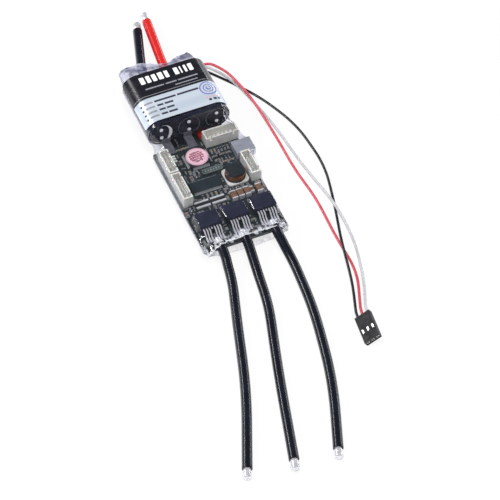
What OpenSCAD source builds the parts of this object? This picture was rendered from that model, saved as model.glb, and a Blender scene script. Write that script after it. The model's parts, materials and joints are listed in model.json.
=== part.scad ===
// Brushless motor speed controller in a clear shrink sleeve.
// +Y points to the battery end, the three motor leads leave towards -Y, +Z is up.
// The origin is on the resting plane, under the middle of the sleeved body.

/* [Boards] */
// Width of the main board
board_w = 40; // [39:0.5:41]
// Thickness of both boards
board_t = 1.6; // [1.4:0.1:1.6]
// Height of the main board's top face above the resting plane
board_top = 7; // [7:0.1:7.4]

/* [Capacitors] */
// Diameter of a capacitor over its printed sleeve
can_d = 13; // [12:0.1:13.2]
// Length of a capacitor
can_l = 30; // [28:0.5:32]
// Distance between neighbouring capacitors
can_pitch = 13.5; // [13.3:0.1:13.6]

/* [Power leads] */
// Outer diameter of the silicone jackets
lead_od = 4.5; // [4.3:0.1:4.6]
// Diameter of the stranded conductor
core_d = 3; // [2.6:0.1:3.1]
// Bare tinned length at each lead's end
tip_l = 5; // [3:0.5:7]

/* [Signal cable] */
// Outer diameter of a signal wire
wire_od = 1.3; // [1.1:0.05:1.3]
// Contact pitch of the servo plug
plug_pitch = 2.54; // [2.5:0.01:2.54]

/* [Sleeve] */
// Thickness of the clear shrink film
film_t = 0.35; // [0.25:0.05:0.4]

/* [Hidden] */
$fn = 48;

// Main board: phase end at -Y, battery end at +Y
board_y0 = -50.5;
board_y1 = 11.5;
board_bottom = board_top - board_t;
board_corner = 1;

// Upright capacitor board and the capacitors behind it
cap_board_y = 16;
can_z = 13.8;
can_y0 = cap_board_y + board_t + 0.3;
can_wall = 0.3;
can_skin = 0.15;
seal_t = 2;
lead_gap = 5;
solder_r = 0.95;

// Power transistors: three above the board, three mirrored below
fet_x = [-12.4, 0.7, 13.8];
fet_w = 10.2;
fet_l = 7.8;
fet_h = 4.3;
fet_y = -36.1;
seat = 0.1;

// Logic chips
mcu_pos = [-2.3, 1.3];
driver_pos = [-4.8, -14.9];

// Leads: pivots stand in for the flex where the jackets leave the sleeve
motor_x = [-12.4, -0.6, 13.7];
motor_pivot = [-54.5, 7.3];
battery_x = [-4.5, 6.6];
battery_pivot = [58.5, 3.9];
pivot_gap = 1.75;
bore_slack = 0.02;
solder_coat = 0.2;
table_z = lead_od / 2;

// Signal cable
wire_r = wire_od / 2;
signal_pivot = [21, 58.5];
signal_gap = 1.3;
signal_step = 1.5;
tail_z = 1.5;
plug_size = [7.62, 14, 2.5];
plug_pos = [29.6, -113.5, 3.4];
plug_roll = -35;
plug_yaw = -6.6;

// Sleeve: ends are cut a little askew
mouth_y = -53;
far_y = 56.5;
far_skew = 0.085;

// ---------- shared shapes ----------

module rounded_plate(size, r, h) {
    linear_extrude(height = h) {
        square([size.x, size.y - 2 * r], center = true);
        square([size.x - 2 * r, size.y], center = true);
        for (sx = [-1, 1], sy = [-1, 1])
            translate([sx * (size.x / 2 - r), sy * (size.y / 2 - r)]) circle(r);
    }
}

module block(size) translate([-size.x / 2, -size.y / 2, 0]) cube(size);

// Places children above the board, or mirrored below it
module board_side(below = false) {
    translate([0, 0, below ? board_bottom : board_top]) mirror([0, 0, below ? 1 : 0]) children();
}

// Cylinder along +Y
module rod_y(r, l) rotate([-90, 0, 0]) cylinder(r = r, h = l);

// ---------- round wires through waypoints ----------

function unit(v) = v / norm(v);
function heading(p, i) = unit(p[i + 1] - p[i]);
function turn(p, i) = acos(min(1, heading(p, i - 1) * heading(p, i)));
// Length of each straight that its corner arc takes away
function trim(p, i) = i <= 0 || i >= len(p) - 1 ? 0
    : 0.48 * min(norm(p[i] - p[i - 1]), norm(p[i + 1] - p[i]));
function lift(p, d) = [for (q = p) [q.x, q.y, len(q) > 2 ? q.z : d]];

// Turns children from +Z to the unit direction u
module point_along(u) rotate([0, acos(u.z), atan2(u.y, u.x)]) children();

module ring(r, bore) {
    difference() {
        circle(r);
        if (bore > 0) circle(bore);
    }
}

// A wire of radius r through the waypoints, each corner rounded as widely as its straights allow.
// The bends are a hair thinner than the straights and run into them, so that they join cleanly.
// The last straight runs beyond its waypoint when asked to.
module wire(p, r, bore = 0, beyond = 0) {
    step = 0.02;
    run_in = 0.1;
    last = len(p) - 2;
    for (i = [0 : last]) {
        u = heading(p, i);
        start = p[i] + u * trim(p, i);
        l = norm(p[i + 1] - p[i]) - trim(p, i) - trim(p, i + 1) + (i == last ? beyond : 0);
        translate(start) point_along(u) linear_extrude(height = l) ring(r, bore);
    }
    for (i = [1 : 1 : last]) {
        u = heading(p, i - 1);
        v = heading(p, i);
        n = unit(v - (u * v) * u);
        w = cross(u, n);
        bend = trim(p, i) / tan(turn(p, i) / 2);
        c = p[i] - u * trim(p, i) + n * bend;
        extra = run_in / bend * 180 / PI;
        multmatrix([[-n.x, u.x, w.x, c.x], [-n.y, u.y, w.y, c.y], [-n.z, u.z, w.z, c.z]])
            rotate(-extra) rotate_extrude(angle = turn(p, i) + 2 * extra, $fn = 360)
                translate([bend, 0]) ring(r - step, bore > 0 ? bore + step : 0);
    }
}

// The swinging part of a lead's route starts a little way out from its pivot
function from_pivot(p) = [for (i = [0 : len(p) - 1]) i == 0 ? p[0] + heading(p, 0) * pivot_gap : p[i]];

// ---------- boards ----------

module main_board() {
    color([0.06, 0.09, 0.09])
    translate([0, (board_y0 + board_y1) / 2, board_bottom])
        rounded_plate([board_w, board_y1 - board_y0], board_corner, board_t);
}

module capacitor_board() {
    hole_r = 0.4;
    color([0.05, 0.05, 0.07])
    translate([0, cap_board_y + board_t, can_z]) rotate([90, 0, 0]) difference() {
        rounded_plate([2 * can_pitch + can_d, can_d], can_d / 2 - 0.05, board_t);
        for (i = [-1 : 1], s = [-1, 1])
            translate([i * can_pitch, s * lead_gap / 2, -1]) cylinder(r = hole_r, h = board_t + 2);
    }
}

// Two tinned straps from the main board up to the capacitor board
module board_links() {
    strap = [4, 0.6];
    foot_y = board_y1 - 3.2;
    rise = 3;
    color("silver")
    for (x = [-11.5, -1])
        translate([x - strap.x / 2, 0, board_top]) {
            translate([0, foot_y, 0]) cube([strap.x, cap_board_y - foot_y, strap.y]);
            translate([0, cap_board_y - strap.y, 0]) cube([strap.x, strap.y, rise]);
        }
}

// ---------- chips ----------

// Outline of a gull-wing lead that leaves a body's side at height h and reaches out to l
module gull_wing(l, h, foot, t) {
    polygon([
        [0, h - t], [(l - foot) * 0.45, h - t], [l - foot, 0], [l, 0],
        [l, t], [l - foot + t * 0.3, t], [(l - foot) * 0.45 + t * 0.3, h], [0, h]
    ]);
}

module lead_row(count, pitch, width, l, h, foot, t, skip = -1) {
    for (i = [0 : count - 1])
        if (i != skip)
            translate([(i - (count - 1) / 2) * pitch + width / 2, 0, 0])
                rotate([90, 0, -90]) linear_extrude(height = width) gull_wing(l, h, foot, t);
}

module microcontroller() {
    size = [10, 10, 1.4];
    color([0.10, 0.10, 0.11])
    translate([mcu_pos.x, mcu_pos.y, board_top + seat]) rounded_plate(size, 0.3, size.z);
}

module microcontroller_leads() {
    color("silver")
    translate([mcu_pos.x, mcu_pos.y, board_top])
        for (a = [0 : 90 : 270])
            rotate(a) translate([0, -5, 0]) lead_row(16, 0.5, 0.22, 1, 0.8, 0.5, 0.15);
}

module gate_driver() {
    size = [14, 6.1, 1.05];
    color([0.11, 0.12, 0.14])
    translate([driver_pos.x, driver_pos.y, board_top + seat]) rounded_plate(size, 0.2, size.z);
}

module gate_driver_leads() {
    color("silver")
    translate([driver_pos.x, driver_pos.y, board_top])
        for (a = [0, 180])
            rotate(a) translate([0, -6.1 / 2, 0]) lead_row(28, 0.48, 0.2, 1, 0.65, 0.5, 0.15);
}

module mosfets() {
    for (x = fet_x)
        translate([x, fet_y, seat]) difference() {
            block([fet_w, fet_l, fet_h]);
            translate([fet_w / 2 - 2.2, fet_l / 2 - 2.2, fet_h - 0.15]) cylinder(r = 0.9, h = 1);
        }
}

module mosfet_leads() {
    tab = [9.8, 1.6, 1.27];
    for (x = fet_x)
        translate([x, fet_y, 0]) {
            translate([0, -fet_l / 2, 0]) lead_row(7, 1.27, 0.6, 6.2, 2.5, 2.8, 0.5, skip = 3);
            translate([-0.3, -fet_l / 2 - 1, 2]) cube([0.6, 1, 0.5]);
            translate([-tab.x / 2, fet_l / 2, 0.02]) cube(tab);
        }
}

module top_mosfets() color([0.16, 0.17, 0.25]) board_side() mosfets();
module top_mosfet_leads() color("silver") board_side() mosfet_leads();
module bottom_mosfets() color([0.16, 0.17, 0.25]) board_side(true) mosfets();
module bottom_mosfet_leads() color("silver") board_side(true) mosfet_leads();

// ---------- power inductor ----------

inductor_pos = [9.6, -15.1];
drum_base_t = 0.8;
flange_t = 0.9;
coil_h = 2.4;

module at_inductor() translate([inductor_pos.x, inductor_pos.y, board_top]) children();

module inductor_base() {
    color([0.75, 0.74, 0.70])
    at_inductor() rounded_plate([10.4, 10.4], 1.8, drum_base_t);
}

module inductor_core() {
    color([0.10, 0.12, 0.13])
    at_inductor() translate([0, 0, drum_base_t]) {
        cylinder(r = 4.8, h = flange_t);
        cylinder(r = 1.7, h = 2 * flange_t + coil_h);
        translate([0, 0, flange_t + coil_h]) rounded_plate([7.8, 7.8], 2, flange_t);
    }
}

module inductor_winding() {
    wire_d = 0.6;
    color([0.72, 0.38, 0.20])
    at_inductor() translate([0, 0, drum_base_t + flange_t])
        for (k = [0 : 3])
            translate([0, 0, k * wire_d]) rotate_extrude()
                translate([1.75, 0]) square([2.8, wire_d - 0.03]);
}

// ---------- small parts on the main board ----------

// Chip parts: [x, y, length, width, height, angle]
ceramic_chips = [
    for (i = [0 : 2]) [4.2 + 3.2 * i, -26.2, 4.6, 2.6, 2.2, 90],
    [13.2, -25.6, 3.2, 1.6, 1.3, 90], [16.4, -26.4, 4.6, 2.6, 2, 90]
];
shunt_chips = [for (x = [-10.4, -2.8]) [x, -24.8, 3.8, 6.6, 0.7, 90]];
small_chips = concat(
    [for (i = [0 : 5]) [5.4 + 1.6 * i, 2.8, 1.6, 0.8, 0.6, 90]],
    [for (i = [0 : 4]) [5.6 + 1.7 * i, -0.6, 1.6, 0.8, 0.6, 0]],
    [for (i = [0 : 3]) [6.8 + 1.7 * i, -5.2, 1.6, 0.8, 0.6, i % 2 == 0 ? 90 : 0]],
    [for (i = [0 : 6]) [-12.9, -19.4 + 3.2 * i, 1.6, 0.8, 0.6, 90]],
    [for (i = [0 : 5]) [-8.4 + 2.1 * i, -21, 1.6, 0.8, 0.6, 90]],
    [for (i = [0 : 2]) [-8.4 + 2.2 * i, 9.2, 1.6, 0.8, 0.6, 0]]
);

module chip_bodies(list, cap) {
    for (c = list)
        translate([c[0], c[1], board_top + 0.02]) rotate(c[5]) block([c[2] - 2 * cap, c[3], c[4]]);
}

module chip_ends(list, cap) {
    for (c = list, s = [-1, 1])
        translate([c[0], c[1], board_top]) rotate(c[5])
            translate([s * (c[2] - cap) / 2, 0, 0]) block([cap, c[3] + 0.04, c[4] + 0.04]);
}

module ceramic_capacitors() color([0.55, 0.36, 0.26]) chip_bodies(ceramic_chips, 0.6);
module ceramic_capacitor_ends() color("silver") chip_ends(ceramic_chips, 0.6);
module shunt_resistors() color([0.13, 0.13, 0.14]) chip_bodies(shunt_chips, 1);
module shunt_resistor_ends() color("silver") chip_ends(shunt_chips, 1);
module small_passives() {
    color([0.30, 0.27, 0.24])
    for (c = small_chips)
        translate([c[0], c[1], board_top]) rotate(c[5]) block([c[2], c[3], c[4]]);
}

module crystal_can() {
    size = [10.6, 3.2, 1.3];
    color([0.62, 0.66, 0.62])
    translate([1.3, -8.1, board_top]) rounded_plate(size, size.y / 2 - 0.05, size.z);
}

module status_leds() {
    color([0.85, 0.9, 0.85])
    for (i = [0 : 2]) translate([-11.9, 5 + 1.5 * (i - 1), board_top]) block([1.6, 0.8, 0.6]);
}

// ---------- connectors ----------

header_pitch = 2;
header_wall = 0.6;
header_floor = 1.6;
header_pin = 0.5;
// Each header: [x, y, angle, number of pins, height, depth]
headers = [
    [12.1, 8.4, 0, 7, 5.9, 5.6],
    [-16.5, -15.4, 90, 7, 6, 4.5],
    [-16.5, 0.4, 90, 6, 6, 4.5],
    [17.5, -14, 90, 6, 6, 4.5]
];

module header_housings() {
    color([0.86, 0.85, 0.80])
    for (h = headers)
        translate([h[0], h[1], board_top]) rotate(h[2]) header_housing(h[3], h[4], h[5]);
}

module header_housing(n, height, depth) {
    l = header_pitch * (n - 1) + 3.9;
    slot = [1.2, 2];
    difference() {
        block([l, depth, height]);
        translate([0, 0, header_floor])
            block([l - 2 * header_wall, depth - 2 * header_wall, height]);
        for (s = [-1, 1])
            translate([s * (l / 2 - 2.4), -depth / 2, height - slot.y]) block([slot.x, 2, height]);
        for (i = [0 : n - 1])
            translate([(i - (n - 1) / 2) * header_pitch, 0, -1])
                block([header_pin + 0.04, header_pin + 0.04, height]);
    }
}

module header_pins() {
    color([0.75, 0.72, 0.62])
    for (h = headers)
        translate([h[0], h[1], board_top]) rotate(h[2])
            for (i = [0 : h[3] - 1])
                translate([(i - (h[3] - 1) / 2) * header_pitch, 0, 0])
                    block([header_pin, header_pin, h[4] - 1.6]);
}

usb_pos = [19, -2.2];
usb_size = [9.2, 7.7, 3.9];
usb_wall = 0.3;

module usb_shell() {
    color([0.75, 0.76, 0.78])
    translate([usb_pos.x, usb_pos.y, board_top]) difference() {
        block(usb_size);
        translate([usb_wall, 0, usb_wall])
            block([usb_size.x, usb_size.y - 2 * usb_wall, usb_size.z - 2 * usb_wall]);
    }
}

module usb_tongue() {
    color([0.15, 0.15, 0.16])
    translate([usb_pos.x - usb_size.x / 2 + 2 * usb_wall + 0.02, usb_pos.y, board_top + usb_wall + 0.02]) {
        translate([0, -3.4, 0]) cube([2, 6.8, 3.2]);
        translate([0, -2, 1.1]) cube([7, 4, 0.9]);
    }
}

// ---------- electrolytic capacitors ----------

module each_can() {
    for (i = [-1 : 1]) translate([i * can_pitch, can_y0, can_z]) children();
}

module capacitor_cans() {
    r = can_d / 2 - can_skin - 0.02;
    color([0.72, 0.73, 0.75])
    each_can() difference() {
        rod_y(r, can_l);
        translate([0, -1, 0]) rod_y(r - can_wall, can_l - can_wall + 1);
        translate([0, can_l - 0.12, 0]) for (a = [0, 60, 120])
            rotate([0, a, 0]) translate([-0.15, 0, -r * 0.7]) cube([0.3, 1, r * 1.4]);
    }
}

module capacitor_windings() {
    color([0.45, 0.42, 0.36])
    each_can() translate([0, seal_t + 1, 0]) rod_y(can_d / 2 - 1, can_l - seal_t - 2.5);
}

module capacitor_seals() {
    color([0.07, 0.07, 0.08])
    each_can() difference() {
        translate([0, 0.3, 0]) rod_y(can_d / 2 - can_skin - can_wall - 0.05, seal_t);
        for (s = [-1, 1]) translate([0, -1, s * lead_gap / 2]) rod_y(0.34, seal_t + 2);
    }
}

module capacitor_sleeves() {
    color([0.10, 0.10, 0.14])
    each_can() difference() {
        translate([0, -0.1, 0]) rod_y(can_d / 2, can_l + 0.2);
        translate([0, -1, 0]) rod_y(can_d / 2 - can_skin, can_l + 2);
    }
}

module capacitor_leads() {
    color("silver")
    for (i = [-1 : 1], s = [-1, 1])
        translate([i * can_pitch, cap_board_y, can_z + s * lead_gap / 2]) rod_y(0.3, board_t + seal_t + 0.9);
}

module capacitor_solder() {
    dome = 0.6;
    color([0.82, 0.83, 0.85])
    for (i = [-1 : 1], s = [-1, 1])
        translate([i * can_pitch, cap_board_y, can_z + s * lead_gap / 2])
            intersection() {
                translate([0, 0.2, 0]) sphere(solder_r);
                rotate([90, 0, 0]) cylinder(r = 2, h = 2);
            }
}

// ---------- battery leads ----------

battery_y0 = 5;
battery_jacket_y0 = 12.8;
battery_ends = [[4.3, 92.7, 2.5], [10.1, 95.2, 3.7]];

// Conductor from its solder mound under the board to the rounded end at the pivot
module battery_joints() {
    mound = 1.9;
    color([0.80, 0.80, 0.82])
    for (x = battery_x)
        translate([x, 0, battery_pivot.y]) {
            translate([0, battery_y0, 0]) rod_y(core_d / 2, battery_pivot.x - battery_y0);
            translate([0, battery_pivot.x, 0]) sphere(core_d / 2 - 0.02);
            intersection() {
                translate([0, battery_y0 - 0.8, 0]) rod_y(mound, 5.5);
                translate([-3, 0, -3]) cube([6, 20, board_bottom - battery_pivot.y + 3]);
            }
        }
}

module battery_inner_jackets() {
    end_y = battery_pivot.x - pivot_gap;
    for (i = [0, 1])
        color(i == 0 ? [0.07, 0.07, 0.08] : [0.90, 0.12, 0.12])
        translate([battery_x[i], battery_jacket_y0, battery_pivot.y]) difference() {
            rod_y(lead_od / 2, end_y - battery_jacket_y0);
            translate([0, -1, 0]) rod_y(core_d / 2 + bore_slack, end_y - battery_jacket_y0 + 2);
        }
}

function battery_route(i) = [
    [battery_x[i], battery_pivot.x, battery_pivot.y],
    [battery_x[i] + (i == 0 ? 0.6 : 0.1), 66, battery_pivot.y - 0.3],
    battery_ends[i]
];

module jacket(route) wire(from_pivot(route), lead_od / 2, core_d / 2 + bore_slack);

// Stranded conductor with its bare end, which a coat of solder makes a little thicker
module core(route) {
    last = len(route) - 1;
    dir = heading(route, last - 1);
    wire(from_pivot(route), core_d / 2, beyond = 1);
    translate(route[last] + dir * bore_slack) point_along(dir)
        cylinder(r = core_d / 2 + solder_coat, h = tip_l);
}

module battery_jacket_black() color([0.07, 0.07, 0.08]) jacket(battery_route(0));
module battery_core_black() color("silver") core(battery_route(0));
module battery_jacket_red() color([0.92, 0.13, 0.13]) jacket(battery_route(1));
module battery_core_red() color("silver") core(battery_route(1));

// ---------- motor leads ----------

function motor_start(i) = [motor_x[i], motor_pivot.x, motor_pivot.y];
motor_routes = [
    concat([motor_start(0)], lift([[-13.8, -67], [-20.7, -88.5], [-31, -122.5], [-46.4, -159]], table_z)),
    concat([motor_start(1)], lift([[-1.7, -67], [-4.4, -85], [-14.6, -118], [-27, -162.8]], table_z)),
    concat([motor_start(2)], lift([[15.3, -67], [12.8, -94], [4.5, -132], [-8, -164.6]], table_z))
];

// Conductor end, soldered to its pad at the board's phase end and rounded off at the pivot
module motor_joints() {
    color([0.80, 0.80, 0.82])
    for (i = [0 : 2]) {
        route = [[motor_x[i], -46.9, board_top + core_d / 2], [motor_x[i], -50.2, 8.8], motor_start(i)];
        wire(route, core_d / 2);
        translate(motor_start(i)) sphere(core_d / 2 - 0.02);
        translate([motor_x[i], -48.5, board_top]) intersection() {
            translate([0, 0, 0.3]) sphere(2.1);
            block([6, 3.8, 6]);
        }
    }
}

module motor_jacket_left() color([0.07, 0.07, 0.08]) jacket(motor_routes[0]);
module motor_core_left() color("silver") core(motor_routes[0]);
module motor_jacket_middle() color([0.07, 0.07, 0.08]) jacket(motor_routes[1]);
module motor_core_middle() color("silver") core(motor_routes[1]);
module motor_jacket_right() color([0.07, 0.07, 0.08]) jacket(motor_routes[2]);
module motor_core_right() color("silver") core(motor_routes[2]);

// ---------- signal cable ----------

cable_start_x = signal_pivot.x + signal_gap;
// Heights at which the wires lie on the table or pass over one another
hop = wire_od + 0.3;
low = wire_r;
mid = low + hop;
high = mid + hop;
// Plug axes after its roll and yaw, used to bring the wires to their contacts
plug_side = [cos(plug_yaw) * cos(plug_roll), sin(plug_yaw) * cos(plug_roll), -sin(plug_roll)];
plug_back = [-sin(plug_yaw), cos(plug_yaw), 0];
function plug_entry(k, back = 0) = plug_pos + plug_side * k * plug_pitch + plug_back * (plug_size.y / 2 + back);

black_route = [
    [cable_start_x, signal_pivot.y - signal_step, tail_z], [25, 55.2, low + 0.4],
    [33, 44.6, low], [42, 30, low], [50.4, 8, low], [52, -20, low],
    [47, -40.5, low], [43.6, -52, low + 0.2], [39.8, -64, mid + 0.4], [34.2, -88, mid - 0.2],
    plug_entry(-1, 3), plug_entry(-1)
];
white_route = [
    [cable_start_x, signal_pivot.y, tail_z], [25.2, 57.4, mid],
    [30, 51.2, mid + 0.2], [34.6, 40.4, mid], [40.6, 14, low], [42.8, -18, low],
    [46, -44, mid + 0.7], [45.6, -66, low + 0.6], [38.9, -90, high - 0.4],
    plug_entry(1, 3), plug_entry(1)
];
red_route = [
    [cable_start_x, signal_pivot.y + signal_step, tail_z], [27.4, 58, high - 0.4],
    [32.6, 49.4, high], [36.6, 31, high], [38.6, 8, low + 0.2], [38.4, -18, low],
    [40.2, -36, low], [38.9, -62, low], [39.3, -82, low + 0.4],
    plug_entry(0, 3), plug_entry(0)
];

// Fixed part of the three wires, from the board's underside to the corner of the sleeve
module signal_tails() {
    pad_z = board_bottom - wire_r - 0.02;
    exit_x = signal_pivot.x - 0.1;
    shades = [[0.07, 0.07, 0.08], [0.93, 0.93, 0.93], [0.80, 0.12, 0.15]];
    for (k = [0 : 2]) {
        x = 17.5 - k * signal_step;
        y = signal_pivot.y + (k - 1) * signal_step;
        color(shades[k])
        wire([[x, 2, pad_z], [x, 6, pad_z], [x, 14, tail_z], [x, y, tail_z], [exit_x, y, tail_z]], wire_r);
    }
}

module signal_wire_black() color([0.06, 0.06, 0.07]) wire(black_route, wire_r);
module signal_wire_white() color([0.95, 0.95, 0.95]) wire(white_route, wire_r);
module signal_wire_red() color([0.82, 0.12, 0.15]) wire(red_route, wire_r);

module at_plug() translate(plug_pos) rotate([0, 0, plug_yaw]) rotate([0, plug_roll, 0]) children();

// One cavity per contact, open at both ends, with a latch window in the broad face
module plug_housing() {
    cavity = 1.7;
    window = [1.1, 2.6];
    wire_hole = wire_r + 0.05;
    color([0.07, 0.07, 0.08])
    at_plug() difference() {
        translate(-plug_size / 2) cube(plug_size);
        for (k = [-1 : 1]) translate([k * plug_pitch, 0, 0]) {
            translate([-cavity / 2, -plug_size.y / 2 - 1, -cavity / 2]) cube([cavity, plug_size.y, cavity]);
            rod_y(wire_hole, plug_size.y);
            translate([-window.x / 2, -2.2, 0]) cube([window.x, window.y, plug_size.z]);
        }
    }
}

// Crimp sockets: square tubes that take 0.64 mm square pins
module plug_contacts() {
    outer = 1.5;
    inner = 0.7;
    length = 8;
    color([0.80, 0.78, 0.70])
    at_plug() for (k = [-1 : 1])
        translate([k * plug_pitch, -plug_size.y / 2 + 0.4, 0]) difference() {
            translate([-outer / 2, 0, -outer / 2]) cube([outer, length, outer]);
            translate([-inner / 2, -1, -inner / 2]) cube([inner, length, inner]);
        }
}

// ---------- sleeve, label and sticker ----------

// Corner circles of a cross-section, each [x, z, radius]: half-width w, height top, corner radius c
foot_r = 1.2;
function corners(w, top, c) = [
    for (s = [-1, 1]) [s * (w - c), top - c, c],
    for (s = [-1, 1]) [s * (w - foot_r), film_t + foot_r, foot_r]
];
// The film stands out over the USB shell on the right
usb_bulge = [for (z = [7.7, 10.2]) [22.9, z, 1.2]];
can_fit = can_d / 2 + 0.12;
can_section = corners(can_pitch + can_fit, can_z + can_fit, can_fit);
sections = [
    [mouth_y, corners(20.3, 10.6, 3)],
    [-41, corners(20.4, 11.9, 1.2)],
    [-24, corners(20.4, 13.4, 1)],
    [-6.6, concat(corners(20.4, 13.4, 1), usb_bulge)],
    [3, concat(corners(20.5, 13.6, 1), usb_bulge)],
    [11.6, corners(20.5, 13.6, 1)],
    [cap_board_y - 0.4, can_section],
    [far_y, can_section]
];

// The circle that reaches furthest in direction d, and the point where it does so
function reach(c, d) = c.x * d.x + c.y * d.y + c.z;
function furthest(list, d) = [for (c = list) if (reach(c, d) >= max([for (o = list) reach(o, d)]) - 1e-9) c][0];
function rim(list, d, grow) = let(c = furthest(list, d)) [c.x + (c.z + grow) * d.x, c.y + (c.z + grow) * d.y];
// One ring of points round section k; the far end is cut askew
ring_n = 48;
function film_ring(k, grow) = [
    for (i = [0 : ring_n - 1])
        let(a = 360 * (i + 0.5) / ring_n, q = rim(sections[k][1], [cos(a), sin(a)], grow))
        [q.x, sections[k][0] - (k == len(sections) - 1 ? far_skew * q.x : 0), q.y]
];
// Two triangles of the strip between ring a and ring b
function strip(a, b) = [
    for (i = [0 : ring_n - 1], t = [0, 1])
        let(j = (i + 1) % ring_n)
        t == 0 ? [a * ring_n + i, a * ring_n + j, b * ring_n + j] : [a * ring_n + i, b * ring_n + j, b * ring_n + i]
];

module sleeve() {
    last = len(sections) - 1;
    inner = last + 1;
    color([0.85, 0.88, 0.92, 0.3])
    polyhedron(
        points = [for (g = [film_t, 0], k = [0 : last]) each film_ring(k, g)],
        faces = [
            for (k = [0 : last - 1]) each concat(strip(k, k + 1), strip(inner + k + 1, inner + k)),
            each concat(strip(inner, 0), strip(last, inner + last))
        ]
    );
}

// Printed label bent over the three cans
module label() {
    gap = 0.12 + film_t + 0.03;
    label_t = 0.12;
    r = can_d / 2 + gap;
    label_y0 = 18.3;
    label_l = 30.1;
    wrap = 70;
    color([0.75, 0.80, 0.88])
    translate([0, label_y0 + label_l, 0]) rotate([90, 0, 0]) linear_extrude(height = label_l) {
        translate([-can_pitch, can_z + r]) square([2 * can_pitch, label_t]);
        for (s = [-1, 1]) translate([s * can_pitch, can_z]) intersection() {
            ring(r + label_t, r);
            polygon([[0, 0], [0, 2 * r], [s * 2 * r * sin(wrap), 2 * r], [s * 2 * r * sin(wrap), 2 * r * cos(wrap)]]);
        }
    }
}

module inspection_sticker() {
    color([0.95, 0.65, 0.70])
    translate([mcu_pos.x, mcu_pos.y, board_top + seat + 1.42]) cylinder(r = 5.2, h = 0.12);
}

main_board();
capacitor_board();
board_links();
microcontroller();
microcontroller_leads();
gate_driver();
gate_driver_leads();
top_mosfets();
top_mosfet_leads();
bottom_mosfets();
bottom_mosfet_leads();
inductor_core();
inductor_winding();
inductor_base();
ceramic_capacitors();
ceramic_capacitor_ends();
shunt_resistors();
shunt_resistor_ends();
crystal_can();
small_passives();
status_leds();
usb_shell();
usb_tongue();
header_housings();
header_pins();
capacitor_cans();
capacitor_windings();
capacitor_seals();
capacitor_sleeves();
capacitor_leads();
capacitor_solder();
battery_joints();
battery_inner_jackets();
battery_jacket_black();
battery_core_black();
battery_jacket_red();
battery_core_red();
motor_joints();
motor_jacket_left();
motor_core_left();
motor_jacket_middle();
motor_core_middle();
motor_jacket_right();
motor_core_right();
signal_tails();
signal_wire_black();
signal_wire_white();
signal_wire_red();
plug_housing();
plug_contacts();
sleeve();
label();
inspection_sticker();
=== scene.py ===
"""Looks of a brushless motor speed controller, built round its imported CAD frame.

Lengths in this script are millimetres; piece() turns them into metres."""
import json
import math
import random

import bpy
import numpy as np
from mathutils import Matrix, Vector, noise
from mathutils.bvhtree import BVHTree


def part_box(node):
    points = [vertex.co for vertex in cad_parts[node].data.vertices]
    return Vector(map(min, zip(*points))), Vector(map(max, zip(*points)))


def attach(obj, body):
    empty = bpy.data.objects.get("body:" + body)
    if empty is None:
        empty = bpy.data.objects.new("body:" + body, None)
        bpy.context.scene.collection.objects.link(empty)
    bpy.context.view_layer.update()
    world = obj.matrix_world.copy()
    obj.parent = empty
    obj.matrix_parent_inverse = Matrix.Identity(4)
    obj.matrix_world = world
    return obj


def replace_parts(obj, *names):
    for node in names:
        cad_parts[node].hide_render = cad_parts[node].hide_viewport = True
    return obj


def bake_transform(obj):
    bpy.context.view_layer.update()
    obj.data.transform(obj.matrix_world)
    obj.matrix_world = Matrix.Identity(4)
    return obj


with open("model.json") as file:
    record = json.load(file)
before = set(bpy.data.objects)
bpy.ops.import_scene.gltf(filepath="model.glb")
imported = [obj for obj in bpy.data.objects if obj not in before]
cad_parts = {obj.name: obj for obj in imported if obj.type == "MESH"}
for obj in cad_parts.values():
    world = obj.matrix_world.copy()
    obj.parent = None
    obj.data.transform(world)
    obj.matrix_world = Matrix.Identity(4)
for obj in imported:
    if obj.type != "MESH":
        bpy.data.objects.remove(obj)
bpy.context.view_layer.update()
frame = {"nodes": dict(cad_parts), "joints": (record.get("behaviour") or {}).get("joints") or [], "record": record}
MM = 0.001
QUARTER = math.pi / 2
random.seed(7)


# ---------- reading the frame ----------

def box(node):
    """Lowest and highest corner of a CAD node in millimetres."""
    low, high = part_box(node)
    return low / MM, high / MM


def cad_array(items, key, width, kind=float):
    flat = np.zeros(len(items) * width, kind)
    items.foreach_get(key, flat)
    return flat.reshape(-1, width)


def cad_points(node):
    return cad_array(frame["nodes"][node].data.vertices, "co", 3) / MM


def cad_edges(node):
    return cad_array(frame["nodes"][node].data.edges, "vertices", 2, int)


def islands(node):
    """Separate solids of a node, each as an array of its points, in order of their lowest x."""
    points = cad_points(node)
    keys, index = np.unique(np.round(points, 4), axis=0, return_inverse=True)
    index = index.ravel()
    group = np.arange(len(keys))
    edges = index[cad_edges(node)]
    changed = True
    while changed:
        lowest = np.minimum(group[edges[:, 0]], group[edges[:, 1]])
        before = group.copy()
        np.minimum.at(group, edges[:, 0], lowest)
        np.minimum.at(group, edges[:, 1], lowest)
        group = group[group]
        changed = not np.array_equal(before, group)
    labels = group[index]
    found = [points[labels == g] for g in np.unique(labels)]
    return sorted(found, key=lambda part: (round(part[:, 0].min(), 2), part[:, 1].min()))


def joint_place(name):
    joint = next(j for j in frame["joints"] if j["name"] == name)
    return Vector(joint["pos_m"]) / MM


# ---------- making pieces ----------

def moved(x, y, z):
    return Matrix.Translation((x, y, z))


def turned(angle, axis="Z"):
    return Matrix.Rotation(angle, 4, axis)


def circle(radius, sides, x=0.0, y=0.0):
    """Points (x, y) round a circle, anticlockwise."""
    turns = [2 * math.pi * k / sides for k in range(sides)]
    return [(x + radius * math.cos(a), y + radius * math.sin(a)) for a in turns]


def tube_faces(rings, sides):
    """Faces between closed rings of points that follow one another."""
    faces = []
    for a in range(0, (rings - 1) * sides, sides):
        for k in range(sides):
            n = (k + 1) % sides
            faces.append((a + k, a + n, a + sides + n, a + sides + k))
    return faces


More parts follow.
